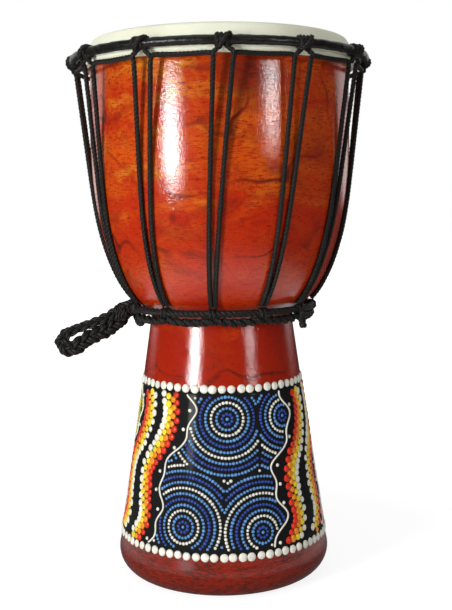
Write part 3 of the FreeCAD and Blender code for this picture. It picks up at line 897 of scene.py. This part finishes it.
class DRUM_OT_lacing(bpy.types.Operator):
    """Lace the head down: hitches on both rings and the ropes between them"""

    bl_idname = "drum.lacing"
    bl_label = "Lacing"

    def execute(self, context):
        sizes = context.scene.shell_sizes
        ropes = context.scene.rope_sizes
        for station in range(STATIONS):
            tag = "_%02d" % (station + 1)
            up = descent(sizes, ropes, station, 1)
            down = descent(sizes, ropes, station + 1, -1)
            near, far = up[-1], down[-1]
            run = [near.lerp(far, 0.14), (near + far) / 2 - Vector((0, 0, 0.5 * MM)), far.lerp(near, 0.14)]
            line = spline_points(up + run + list(reversed(down)))
            angle = crown_angle(station)
            cord_piece("lacing_rope" + tag, "tension_rope" + tag, line, ropes.rope, ropes, outward(angle))
            places = [near_ring(CROWN_RADIUS, CROWN_HEIGHT, angle, p) for p in hitch_places(ropes)]
            line = spline_points(places, resolution=4)
            cord_piece("crown_knot" + tag, "crown_hitch" + tag, line, ropes.rope, ropes,
                       along_ring(angle))
            reach = LOWER_THICK / 2 + ropes.rope * 0.14
            half = ropes.turn_pitch
            turns = turns_round(110, 110 - 760, -half * 0.75, half * 0.75, reach)
            angle = lower_angle(station)
            places = [near_ring(LOWER_RADIUS, LOWER_HEIGHT, angle, p) for p in turns]
            line = spline_points(places, resolution=4)
            cord_piece("lower_knot" + tag, "lower_hitch" + tag, line, ropes.rope, ropes,
                       along_ring(angle))
        return {"FINISHED"}


SWAG_TWISTS = 2.5
SWAG = (6.6 * MM, 1.5 * MM)            # how far a swag's middle hangs down and tucks in
SWAG_AT_HANDLE = (12.0 * MM, 6.0 * MM)  # the same behind the carry handle's knot


class DRUM_OT_swags(bpy.types.Operator):
    """Hang the rope below the lower ring from hitch to hitch, and its cut end"""

    bl_idname = "drum.swags"
    bl_label = "Swags and rope end"

    def execute(self, context):
        ropes = context.scene.rope_sizes
        material = finish_named("black_cord")
        handle_angle = math.atan2(SWING["pos_m"][0], -SWING["pos_m"][1])
        meshes = []
        for station in range(STATIONS):
            start = lower_angle(station)
            middle = start + STEP / 2
            away = abs(math.remainder(middle - handle_angle, FULL_TURN))
            drop, tuck = SWAG_AT_HANDLE if away < 0.01 else SWAG
            first = LOWER_THICK / 2 + ropes.rope / 2 + 0.2 * MM
            clear = 0.6 * MM / LOWER_RADIUS
            points = []
            for i in range(7):
                sag = 0.42 + 0.58 * math.sin(math.pi * i / 6) ** 0.8
                angle = start + clear + (STEP - 2 * clear) * i / 6
                fall = first + (drop - first) * sag
                points.append(at(LOWER_RADIUS - tuck * sag, angle, LOWER_HEIGHT - fall))
            line = even(spline_points(points), 1.6 * MM)
            total = length_of(line)
            turns = FULL_TURN * SWAG_TWISTS / total
            reach = ropes.rope * 0.50

            def offset(s, share):
                turn = turns * s + FULL_TURN * share + 1.2
                return reach * math.cos(turn), reach * math.sin(turn)

            frames = carried_frames(line, outward(middle))
            for one in strand_lines(frames, total / (len(line) - 1), 2, offset):
                meshes.append(laid_rope("swag", one, ropes.rope * 1.12, ropes.rope_lay,
                                        outward(middle)))
        drum_object("lacing_swags", joined("lacing_swags", meshes), "drum", material,
                    ["lower_swags"])
        low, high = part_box("rope_tail")
        angle = node_angle("rope_tail")
        out = outward(angle)
        middle = (low + high) / 2
        top = Vector((middle.x, middle.y, high.z)) - out * 1.0 * MM
        aside = along_ring(angle) * -2.6 * MM
        route = [top + Vector((0, 0, 2.5 * MM)), top - Vector((0, 0, 3 * MM)) + aside * 0.6,
                 Vector((middle.x, middle.y, low.z + 5.5 * MM)) + out * 0.6 * MM + aside,
                 Vector((middle.x, middle.y, low.z + 3.0 * MM)) + out * 1.0 * MM + aside]
        cord_piece("rope_end", "rope_tail", spline_points(route), ropes.rope * 1.6, ropes,
                   along_ring(angle))
        return {"FINISHED"}


# ---- carry handle ---------------------------------------------------------------------------------

KNOT_REACH = 9.1 * MM       # from the lower ring's centre to the knot's outer face
# loop's centre line from the knot's face: along its axis, across it (up), and sideways, in millimetres
HANDLE_ROUTE = [
    (0.0, 2.8, 0.0),
    (8.0, 2.4, 0.6),
    (17.0, 2.8, 1.2),
    (27.0, 4.6, 0.8),
    (36.5, 6.0, 0.0),
    (43.5, 6.6, -0.5),
    (49.2, 4.0, -0.9),
    (49.8, -3.2, -0.6),
    (45.0, -6.6, 0.2),
    (37.5, -5.2, 1.0),
    (28.0, -4.6, 0.8),
    (18.0, -6.2, -0.4),
    (8.0, -5.4, -0.4),
    (0.0, -3.0, 0.0),
]


def handle_axes(ropes):
    """Pivot, along the loop, across it and sideways, at rest."""
    pivot = Vector(SWING["pos_m"])
    sideways = -Vector(SWING["axis"]).normalized()
    out = Vector((pivot.x, pivot.y, 0)).normalized()
    up = Vector((0, 0, 1))
    dip = ropes.handle_dip
    along = out * math.cos(dip) - up * math.sin(dip)
    across = out * math.sin(dip) + up * math.cos(dip)
    return pivot, along, across, sideways


class DRUM_OT_handle(bpy.types.Operator):
    """Braid the carry handle and tie its knot round the lower ring"""

    bl_idname = "drum.handle"
    bl_label = "Carry handle"

    def execute(self, context):
        ropes = context.scene.rope_sizes
        material = finish_named("black_cord")
        pivot, along, across, sideways = handle_axes(ropes)
        face = pivot + along * KNOT_REACH
        route = [face + along * a * MM + across * b * MM + sideways * c * MM for a, b, c in HANDLE_ROUTE]
        spacing = 1.2 * MM
        line = even(spline_points(route), spacing)
        total = length_of(line)
        strand = ropes.braid * 0.29
        wide = ropes.braid * 0.43

        def swell(share):
            """The pass above is worn thin; the one below is slack and thick."""
            ease = min(max((share - 0.30) / 0.22, 0.0), 1.0)
            ease = ease * ease * (3 - 2 * ease)
            return 0.74 + (0.41 + 0.04 * math.cos(share * 52)) * ease

        def offset(s, share):
            turn = FULL_TURN * (s / ropes.braid_lay + share)
            reach = wide * swell(s / total)
            return reach * math.sin(turn), reach * 0.55 * math.sin(2 * turn)

        frames = carried_frames(line, sideways)
        frames = [(p, across_side, side) for p, side, across_side in frames]
        lines = strand_lines(frames, total / (len(line) - 1), 3, offset)
        meshes = [laid_rope("plait", one, strand * 2, 0.024, sideways, spacing=0.0010, swell=swell)
                  for one in lines]
        braid = drum_object("braided_handle", joined("braided_handle", meshes), "handle",
                            material, ["carry_handle"])
        self.tie_knot(ropes, material, pivot, along, across, sideways)
        return {"FINISHED"}

    def tie_knot(self, ropes, material, pivot, along, across, sideways):
        """Turns round the ring, the braid's two ends beside them, and wraps round both ends."""
        reach = 2.2 * MM + ropes.rope / 2
        points = []
        turns = 4
        for i in range(turns * 14 + 1):
            turn = FULL_TURN * i / 14
            aside = -4.4 * MM + 8.8 * MM * i / (turns * 14)
            out = along * math.cos(turn) + across * math.sin(turn)
            points.append(pivot + sideways * aside + out * reach)
        meshes = [laid_rope("collar", spline_points(points, resolution=4), ropes.rope * 1.1,
                            ropes.rope_lay, sideways)]
        for side in (-1, 1):
            ends = [(1.6, 3.6, side * 1.4), (4.9, 4.0, side * 1.2), (7.6, 3.3, side * 0.6),
                    (11.0, 2.9, 0.0)]
            route = [pivot + along * a * MM + across * side * b * MM + sideways * c * MM
                     for a, b, c in ends]
            meshes.append(laid_rope("end", spline_points(route), ropes.braid * 0.72, 0.011, sideways))
        points = []
        wraps = 3.4
        steps = round(wraps * 18)
        for i in range(steps + 1):
            turn = FULL_TURN * wraps * i / steps
            reach = (4.9 + 6.1 * i / steps) * MM
            tilt = 1.3 * MM * math.sin(turn)
            bulge = 1 + 0.10 * math.sin(math.pi * i / steps)
            points.append(pivot + along * (reach + tilt) + across * (5.1 * MM * bulge * math.cos(turn))
                          + sideways * (2.9 * MM * bulge * math.sin(turn)))
        meshes.append(laid_rope("whipping", spline_points(points, resolution=4), ropes.rope * 1.05,
                                ropes.rope_lay, along))
        knot = joined("handle_tie", meshes)
        drum_object("handle_tie", knot, "handle", material, ["handle_knot"])


# ---- dot painting ---------------------------------------------------------------------------------

def wandering(middle):
    """Angles of a band at seven even heights, bottom to top: one sway and one lean for every band."""
    return tuple(middle + 5.0 * math.sin(1.7 * i) + 4.0 * (i - 3) for i in range(7))


# three equal pairs of bands a third of a turn apart: name, side on which its panel lies, angles
BANDS = [
    ("left_outer", -1, wandering(-68.5)), ("left_inner", 1, wandering(-47.5)),
    ("right_inner", -1, wandering(51.5)), ("right_outer", 1, wandering(72.5)),
    ("rear_inner", -1, wandering(171.5)), ("rear_outer", 1, wandering(192.5)),
]
# panels between bands: band on the left, band on the right, dots light to dark, circles, seed
PANELS = [
    ("left_inner", "right_inner", ("light_blue", "dark_blue"), 4, 1),
    ("right_outer", "rear_inner", ("magenta", "red"), 4, 2),
    ("rear_outer", "left_outer", ("yellow", "green"), 4, 3),
]
ROW_COLOURS = ("red", "orange", "yellow", "white")
# two sways of a wavy line: reach in millimetres and radians per metre of height
SWAYS = ((2.2, 265.0), (1.9, 110.0))
LINE_CLEAR = 6.0            # wavy line from its band's edge row, in millimetres
LINE_END = 4.2 * MM         # lines stop this far from the middle of a white row
PANEL_END = 4.4 * MM        # and circles this far
LARGE_RISE = 1.15 * MM      # how proud the dots stand
FINE_RISE = 0.62 * MM
SINGLE_DOT = 2.8 * MM
SINGLE_RISE = 0.8 * MM
FIRST_RING, RING_STEP, RING_COUNT = 3.7, 4.0, 18    # rings of fine dots, in millimetres


class Painting:
    """Places and colours of all dots, and the ways between the stem and its flat development."""

    def __init__(self, sizes, paints):
        self.sizes = sizes
        self.paints = paints
        self.lean = flank_slope(sizes)
        self.apex = sizes.foot_radius / math.tan(self.lean)
        self.dots = {}
        self.random = random.Random(4)

    def flat(self, angle, z):
        """Point of the developed cone. Distances there are distances on the stem."""
        slant = (self.apex - z) / math.cos(self.lean)
        turn = angle * math.sin(self.lean)
        return Vector((slant * math.sin(turn), -slant * math.cos(turn)))

    def on_stem(self, point):
        """Angle and height of a point of the developed cone."""
        turn = math.atan2(point.x, -point.y)
        return turn / math.sin(self.lean), self.apex - point.length * math.cos(self.lean)

    def matrix(self, angle, z, size, height):
        """Place of a unit dome on the stem, its base a little under the surface."""
        along = along_ring(angle)
        normal = outward(angle) * math.cos(self.lean) + Vector((0, 0, math.sin(self.lean)))
        up = normal.cross(along)
        middle = at(flank_radius(self.sizes, z), angle, z) + normal * 0.05 * MM
        turn = Matrix((along, up, normal)).transposed().to_4x4()
        spread = Matrix.Diagonal((size / 2, size / 2, height, 1.0))
        return Matrix.Translation(middle) @ turn @ spread

    def dot(self, colour, angle, z, size, height):
        self.dots.setdefault(colour, []).append((angle, z, size, height))

    def share(self, z):
        return (z - self.paints.bottom) / (self.paints.top - self.paints.bottom)

    def band_angle(self, band, z, aside=0.0):
        """Angle of a band at a height, aside metres to its panel's side."""
        side, angles = band[1:]
        place = min(max(self.share(z), 0.0), 0.9999) * (len(angles) - 1)
        i, t = int(place), place % 1.0
        a, b, c, d = (angles[min(max(n, 0), len(angles) - 1)] for n in range(i - 1, i + 3))
        smooth = b + t * (c - a + t * (2 * a - 5 * b + 4 * c - d + t * (3 * b - 3 * c + d - a))) / 2
        return math.radians(smooth) + side * aside / flank_radius(self.sizes, z)

    def band_line(self, band, spacing):
        """Points down a band's middle, an even distance apart, with the direction across it."""
        count = 60
        points = []
        for i in range(count + 1):
            z = self.paints.bottom + (self.paints.top - self.paints.bottom) * i / count
            points.append(self.flat(self.band_angle(band, z), z).to_3d())
        points = [p.to_2d() for p in even(points, spacing)]
        found = []
        for i, point in enumerate(points):
            after = points[min(i + 1, len(points) - 1)]
            before = points[max(i - 1, 0)]
            forward = (after - before).normalized()
            found.append((point, Vector((forward.y, -forward.x)) * band[1]))
        return found

    def rows(self):
        paints = self.paints
        for z in (paints.top, paints.bottom):
            count = round(FULL_TURN * flank_radius(self.sizes, z) / (paints.row_dot * 1.05))
            for i in range(count):
                angle = FULL_TURN * (i + self.random.uniform(-0.06, 0.06)) / count
                size = paints.row_dot * self.random.uniform(0.94, 1.04)
                self.dot("white", angle, z + self.random.uniform(-0.25, 0.25) * MM, size, LARGE_RISE)

    def bands(self):
        paints = self.paints
        pitch = paints.band_dot * 0.70
        edge = paints.row_dot / 2 + paints.band_dot * 0.30
        for band in BANDS:
            line = self.band_line(band, paints.band_dot * 1.06)
            for point, across in line:
                for row, colour in enumerate(ROW_COLOURS):
                    aside = (1.5 - row) * pitch
                    shift = self.random.uniform(-0.55, 0.55) * MM
                    place = point + across * (aside + shift)
                    forward = Vector((-across.y, across.x)) * band[1]
                    place += forward * paints.band_dot * (0.25 if row % 2 else -0.25)
                    angle, z = self.on_stem(place)
                    if not paints.bottom + edge < z < paints.top - edge:
                        continue
                    size = paints.band_dot * self.random.uniform(0.88, 1.14)
                    self.dot(colour, angle, z, size, LARGE_RISE - 0.10 * MM * row)

    def border(self, band, z):
        """Angle of the wavy line beside a band."""
        wave = sum(reach * math.sin(z * turn + phase) for (reach, turn), phase in zip(SWAYS, band[2]))
        turn = self.band_angle(band, z + MM) - self.band_angle(band, z - MM)
        slant = math.hypot(1.0, turn * flank_radius(self.sizes, z) / (2 * MM))
        clear = (2 * self.paints.band_dot / MM + LINE_CLEAR) * (1.0 + 0.50 * (min(slant, 2.6) - 1.0))
        return self.band_angle(band, z, (clear + wave) * MM)

    def borders(self):
        """Points of each wavy line, and the single dots between it and its band."""
        paints = self.paints
        lines = []
        for band in BANDS:
            line = []
            last = -1.0
            count = 64
            low = paints.bottom + LINE_END
            high = paints.top - LINE_END
            for i in range(count + 1):
                z = low + (high - low) * i / count
                angle = self.border(band, z)
                line.append(at(flank_radius(self.sizes, z) + 0.15 * MM, angle, z))
            lines.append(line)
            for i in range(24):
                z = low + (high - low) * (i + 0.5) / 24
                line_angle = self.border(band, z)
                edge = self.band_angle(band, z, 1.85 * paints.band_dot)
                room = abs(line_angle - edge) * flank_radius(self.sizes, z)
                if room > 5.6 * MM and z - last > 13 * MM:
                    self.dot("white", (line_angle + edge) / 2, z, SINGLE_DOT, SINGLE_RISE)
                    last = z
        return lines

    def panels(self):
        """Fill the places between the bands with circles of fine dots."""
        by_name = {band[0]: band for band in BANDS}
        for left_name, right_name, colours, circles, seed in PANELS:
            left, right = by_name[left_name], by_name[right_name]
            self.panel(left, right, colours, circles, random.Random(seed))

    def inside(self, left, right, angle, z, inset):
        """Whether a place lies in a panel, at least inset from its borders."""
        paints = self.paints
        if not paints.bottom + PANEL_END + inset * 0.5 < z < paints.top - PANEL_END - inset * 0.5:
            return False
        reach = inset / flank_radius(self.sizes, z)
        low = self.border(left, z) + reach
        high = self.border(right, z) - reach
        width = (high - low) % FULL_TURN
        crossed = width > 0.7 * FULL_TURN
        return not crossed and (angle - low) % FULL_TURN < width

    def panel(self, left, right, colours, circles, dice):
        """Rings of fine dots round each circle's centre, where that centre is the nearest."""
        paints = self.paints
        light, dark = colours
        middle = self.border(left, (paints.top + paints.bottom) / 2)
        centres = []
        for _ in range(circles):
            best, best_room = None, -1.0
            for _ in range(160):
                z = dice.uniform(paints.bottom, paints.top)
                low = self.border(left, z)
                angle = low + dice.random() * ((self.border(right, z) - low) % FULL_TURN)
                if not self.inside(left, right, angle, z, 8.0 * MM):
                    continue
                point = self.flat(angle - middle, z)
                room = min([(point - other).length for other in centres] + [0.05])
                if room > best_room:
                    best, best_room = point, room
            if best is not None:
                centres.append(best)
        cycle = (dark, light, "white", light)
        taken = []
        for ring in range(RING_COUNT):
            colour = cycle[ring % len(cycle)]
            radius = (FIRST_RING + RING_STEP * ring) * MM
            for centre in centres:
                if ring == 0:
                    self.place_fine(light, centre, middle, taken)
                count = max(7, round(FULL_TURN * radius / (paints.fine_dot * 1.10)))
                start = dice.random()
                for i in range(count):
                    turn = FULL_TURN * (i + start) / count
                    point = centre + Vector((math.cos(turn), math.sin(turn))) * radius
                    if any((point - other).length < radius - 0.2 * MM for other in centres):
                        continue
                    angle, z = self.on_stem(point)
                    if not self.inside(left, right, angle + middle, z, 2.0 * MM):
                        continue
                    self.place_fine(colour, point, middle, taken)

    def place_fine(self, colour, point, middle, taken):
        gap = self.paints.fine_dot * 1.05
        if any((point - other).length < gap for other in taken):
            return
        taken.append(point)
        angle, z = self.on_stem(point)
        size = self.paints.fine_dot * self.random.uniform(0.92, 1.08)
        self.dot(colour, angle + middle, z, size, FINE_RISE)


def dome(segments, rings):
    """Unit dome with a closed base: half of a flattened ball."""
    bm = bmesh.new()
    bmesh.ops.create_uvsphere(bm, u_segments=segments, v_segments=rings * 2, radius=1.0)
    bmesh.ops.delete(bm, geom=[v for v in bm.verts if v.co.z < -1e-4], context="VERTS")
    rim = [edge for edge in bm.edges if edge.is_boundary]
    bmesh.ops.contextual_create(bm, geom=rim)
    bmesh.ops.recalc_face_normals(bm, faces=bm.faces)
    mesh = bpy.data.meshes.new("dome")
    bm.to_mesh(mesh)
    bm.free()
    return mesh


class DRUM_OT_painting(bpy.types.Operator):
    """Paint the band round the foot: black ground, rows and bands of dots, wavy lines and circles"""

    bl_idname = "drum.painting"
    bl_label = "Dot painting"

    def execute(self, context):
        sizes = context.scene.shell_sizes
        paints = context.scene.paint_sizes
        proud, sunk = 0.12 * MM, 0.3 * MM
        heights = [paints.top + (paints.bottom - paints.top) * i / 24 for i in range(25)]
        outline = [(flank_radius(sizes, z) + proud, z) for z in heights]
        outline += [(flank_radius(sizes, z) - sunk, z) for z in reversed(heights)]
        ground = mesh_from(turned(outline, 168), "painted_ground")
        drum_object("painted_ground", ground, "drum", finish_named("ground_paint"))
        painting = Painting(sizes, paints)
        painting.rows()
        painting.bands()
        lines = painting.borders()
        painting.panels()
        mesh = bevelled("wavy_lines", lines, paints.line / 2, 6)
        drum_object("wavy_lines", mesh, "drum", finish_named("white_paint"))
        large, small = dome(12, 3), dome(8, 2)
        for colour, dots in painting.dots.items():
            bm = bmesh.new()
            for angle, z, size, height in dots:
                first = len(bm.verts)
                bm.from_mesh(large if size > 2.4 * MM else small)
                bm.verts.ensure_lookup_table()
                bmesh.ops.transform(bm, matrix=painting.matrix(angle, z, size, height),
                                    verts=bm.verts[first:])
            name = "dots_" + colour
            drum_object(name, mesh_from(bm, name), "drum",
                        finish_named(colour + "_paint"))
        return {"FINISHED"}


# ---- stage ----------------------------------------------------------------------------------------

# lamp: degrees from the front, distance, height, size, watts, and whether the varnish mirrors it
LAMPS = {
    "key_softbox": (-40.5, 1.25, 0.315, (0.20, 0.38), 10.8, True),
    "fill_softbox": (44.0, 1.8, 0.56, (0.22, 0.28), 5.0, True),
    "wide_softbox": (-52.0, 1.5, 0.70, (0.9, 0.9), 2.2, False),
    "top_softbox": (-30.0, 0.35, 1.7, (1.3, 1.3), 4.3, True),
}
LAMP_AIM = Vector((0, 0, 0.24))
CAMERA_PLACE = Vector((0, -0.763, 0.2836))
CAMERA_PITCH, CAMERA_ROLL = 5.97, -0.55     # degrees: down, and to the left
LENS, SHIFT = 59.14, 0.0075


class DRUM_OT_stage(bpy.types.Operator):
    """Set the floor, the studio light and the camera"""

    bl_idname = "drum.stage"
    bl_label = "Stage"

    def execute(self, context):
        scene = context.scene
        scene.view_settings.view_transform = "Standard"
        self.floor(scene)
        self.world(scene)
        for name, lamp in LAMPS.items():
            self.softbox(scene, name, *lamp)
        self.camera(scene)
        return {"FINISHED"}

    def floor(self, scene):
        bm = bmesh.new()
        bmesh.ops.create_circle(bm, cap_ends=True, segments=96, radius=6.0)
        mesh = mesh_from(bm, "floor")
        floor = bpy.data.objects.new("floor", mesh)
        scene.collection.objects.link(floor)
        f = Finish("pale_floor")
        path = f.add("LightPath").outputs
        grain = f.noise(f.place(), 60.0)
        pale = f.mix(grain, (0.86, 0.86, 0.86), (0.90, 0.90, 0.90))
        cloth = f.add("BsdfDiffuse", [("Color", pale)]).outputs[0]
        away = f.add("VectorMath", [(0, f.place())], operation="LENGTH").outputs["Value"]
        seen = f.level(away, 0.20, 0.70, 1.38, 1.75)
        # painted reflection: in reflections only, the floor glows in a ring 0.12 to 0.48 m round the drum, which
        # lays a pale band on the lower bowl; it stays dim close under the foot as a painted shadow
        mirrored = f.math("MULTIPLY", f.level(away, 0.12, 0.26, 0.12, 1.0),
                          f.level(away, 0.28, 0.48, 0.85, 0.03))
        glossy = f.math("MULTIPLY", mirrored, path["Is Glossy Ray"])
        camera = f.math("MAXIMUM", path["Is Camera Ray"], path["Is Transmission Ray"])
        strength = f.math("ADD", glossy, f.math("MULTIPLY", seen, camera))
        glow = f.add("Emission", [("Color", (1.0, 1.0, 1.0)), ("Strength", strength)]).outputs[0]
        share = f.math("ADD", f.math("MULTIPLY", camera, 0.62), path["Is Glossy Ray"])
        mixed = f.add("MixShader", [(0, share), (1, cloth), (2, glow)]).outputs[0]
        f.tree.links.new(mixed, f.tree.nodes["Material Output"].inputs["Surface"])
        mesh.materials.append(f.material)

    def world(self, scene):
        world = bpy.data.worlds.new("studio")
        scene.world = world
        world.use_nodes = True
        tree = world.node_tree
        back = tree.nodes["Background"]
        path = tree.nodes.new("ShaderNodeLightPath").outputs
        where = tree.nodes.new("ShaderNodeTexCoord").outputs["Generated"]
        parts = tree.nodes.new("ShaderNodeSeparateXYZ")
        tree.links.new(where, parts.inputs[0])
        wall = tree.nodes.new("ShaderNodeMapRange")
        for socket, value in (("From Min", 0.46), ("From Max", 0.60), ("To Min", 0.03), ("To Max", 0.9)):
            wall.inputs[socket].default_value = value
        tree.links.new(parts.outputs["Y"], wall.inputs["Value"])
        glossy = self.mixed(tree, path["Is Glossy Ray"], 0.28, wall.outputs["Result"])
        seen = self.mixed(tree, path["Is Camera Ray"], glossy, 1.0)
        tree.links.new(seen, back.inputs["Strength"])
        back.inputs["Color"].default_value = (1.0, 1.0, 1.0, 1.0)

    def mixed(self, tree, share, first, second):
        """Value node output between two numbers or outputs."""
        node = tree.nodes.new("ShaderNodeMix")
        for socket, value in ((0, share), (2, first), (3, second)):
            if isinstance(value, bpy.types.NodeSocket):
                tree.links.new(value, node.inputs[socket])
            else:
                node.inputs[socket].default_value = value
        return node.outputs[0]

    def softbox(self, scene, name, degrees, distance, height, size, power, mirrored):
        """Soft lamp aimed at the drum; one that isn't mirrored leaves no highlight on the varnish."""
        lamp = bpy.data.lights.new(name, "AREA")
        lamp.shape = "RECTANGLE"
        lamp.size, lamp.size_y = size
        lamp.energy = power
        holder = bpy.data.objects.new(name, lamp)
        holder.visible_glossy = mirrored
        scene.collection.objects.link(holder)
        place = at(distance, math.radians(degrees), height)
        aim = LAMP_AIM - place
        holder.matrix_world = Matrix.Translation(place) @ aim.to_track_quat("-Z", "Y").to_matrix().to_4x4()

    def camera(self, scene):
        camera = bpy.data.cameras.new("camera")
        camera.sensor_width = 36.0
        camera.lens = LENS
        camera.shift_x = SHIFT
        camera.clip_start = 0.05
        holder = bpy.data.objects.new("camera", camera)
        scene.collection.objects.link(holder)
        pitch = Matrix.Rotation(math.pi / 2 - math.radians(CAMERA_PITCH), 4, "X")
        roll = Matrix.Rotation(math.radians(CAMERA_ROLL), 4, "Z")
        holder.matrix_world = Matrix.Translation(CAMERA_PLACE) @ pitch @ roll
        scene.camera = holder


# ---- panel and main -------------------------------------------------------------------------------

STEPS = ("shell", "head", "rings", "lacing", "swags", "handle", "painting", "stage")


class DRUM_PT_pieces(bpy.types.Panel):
    """The drum's pieces, in the order in which they are made"""

    bl_idname = "DRUM_PT_pieces"
    bl_label = "Goblet drum"
    bl_space_type = "VIEW_3D"
    bl_region_type = "UI"
    bl_category = "Drum"

    def draw(self, context):
        for step in STEPS:
            self.layout.operator("drum." + step)
        for group in ("shell_sizes", "rope_sizes", "paint_sizes", "drum_colours"):
            values = getattr(context.scene, group)
            column = self.layout.column()
            for key in values.__annotations__:
                column.prop(values, key)


GROUPS = {"shell_sizes": ShellSizes, "rope_sizes": RopeSizes, "paint_sizes": PaintSizes,
          "drum_colours": DrumColours}
CLASSES = (*GROUPS.values(), DRUM_OT_shell, DRUM_OT_head, DRUM_OT_rings, DRUM_OT_lacing, DRUM_OT_swags,
           DRUM_OT_handle, DRUM_OT_painting, DRUM_OT_stage, DRUM_PT_pieces)


def register():
    for one in CLASSES:
        bpy.utils.register_class(one)
    for name, group in GROUPS.items():
        setattr(bpy.types.Scene, name, PointerProperty(type=group))


def unregister():
    for name in GROUPS:
        delattr(bpy.types.Scene, name)
    for one in reversed(CLASSES):
        bpy.utils.unregister_class(one)


def main():
    register()
    for step in STEPS:
        getattr(bpy.ops.drum, step)()


if __name__ == "__main__":
    main()
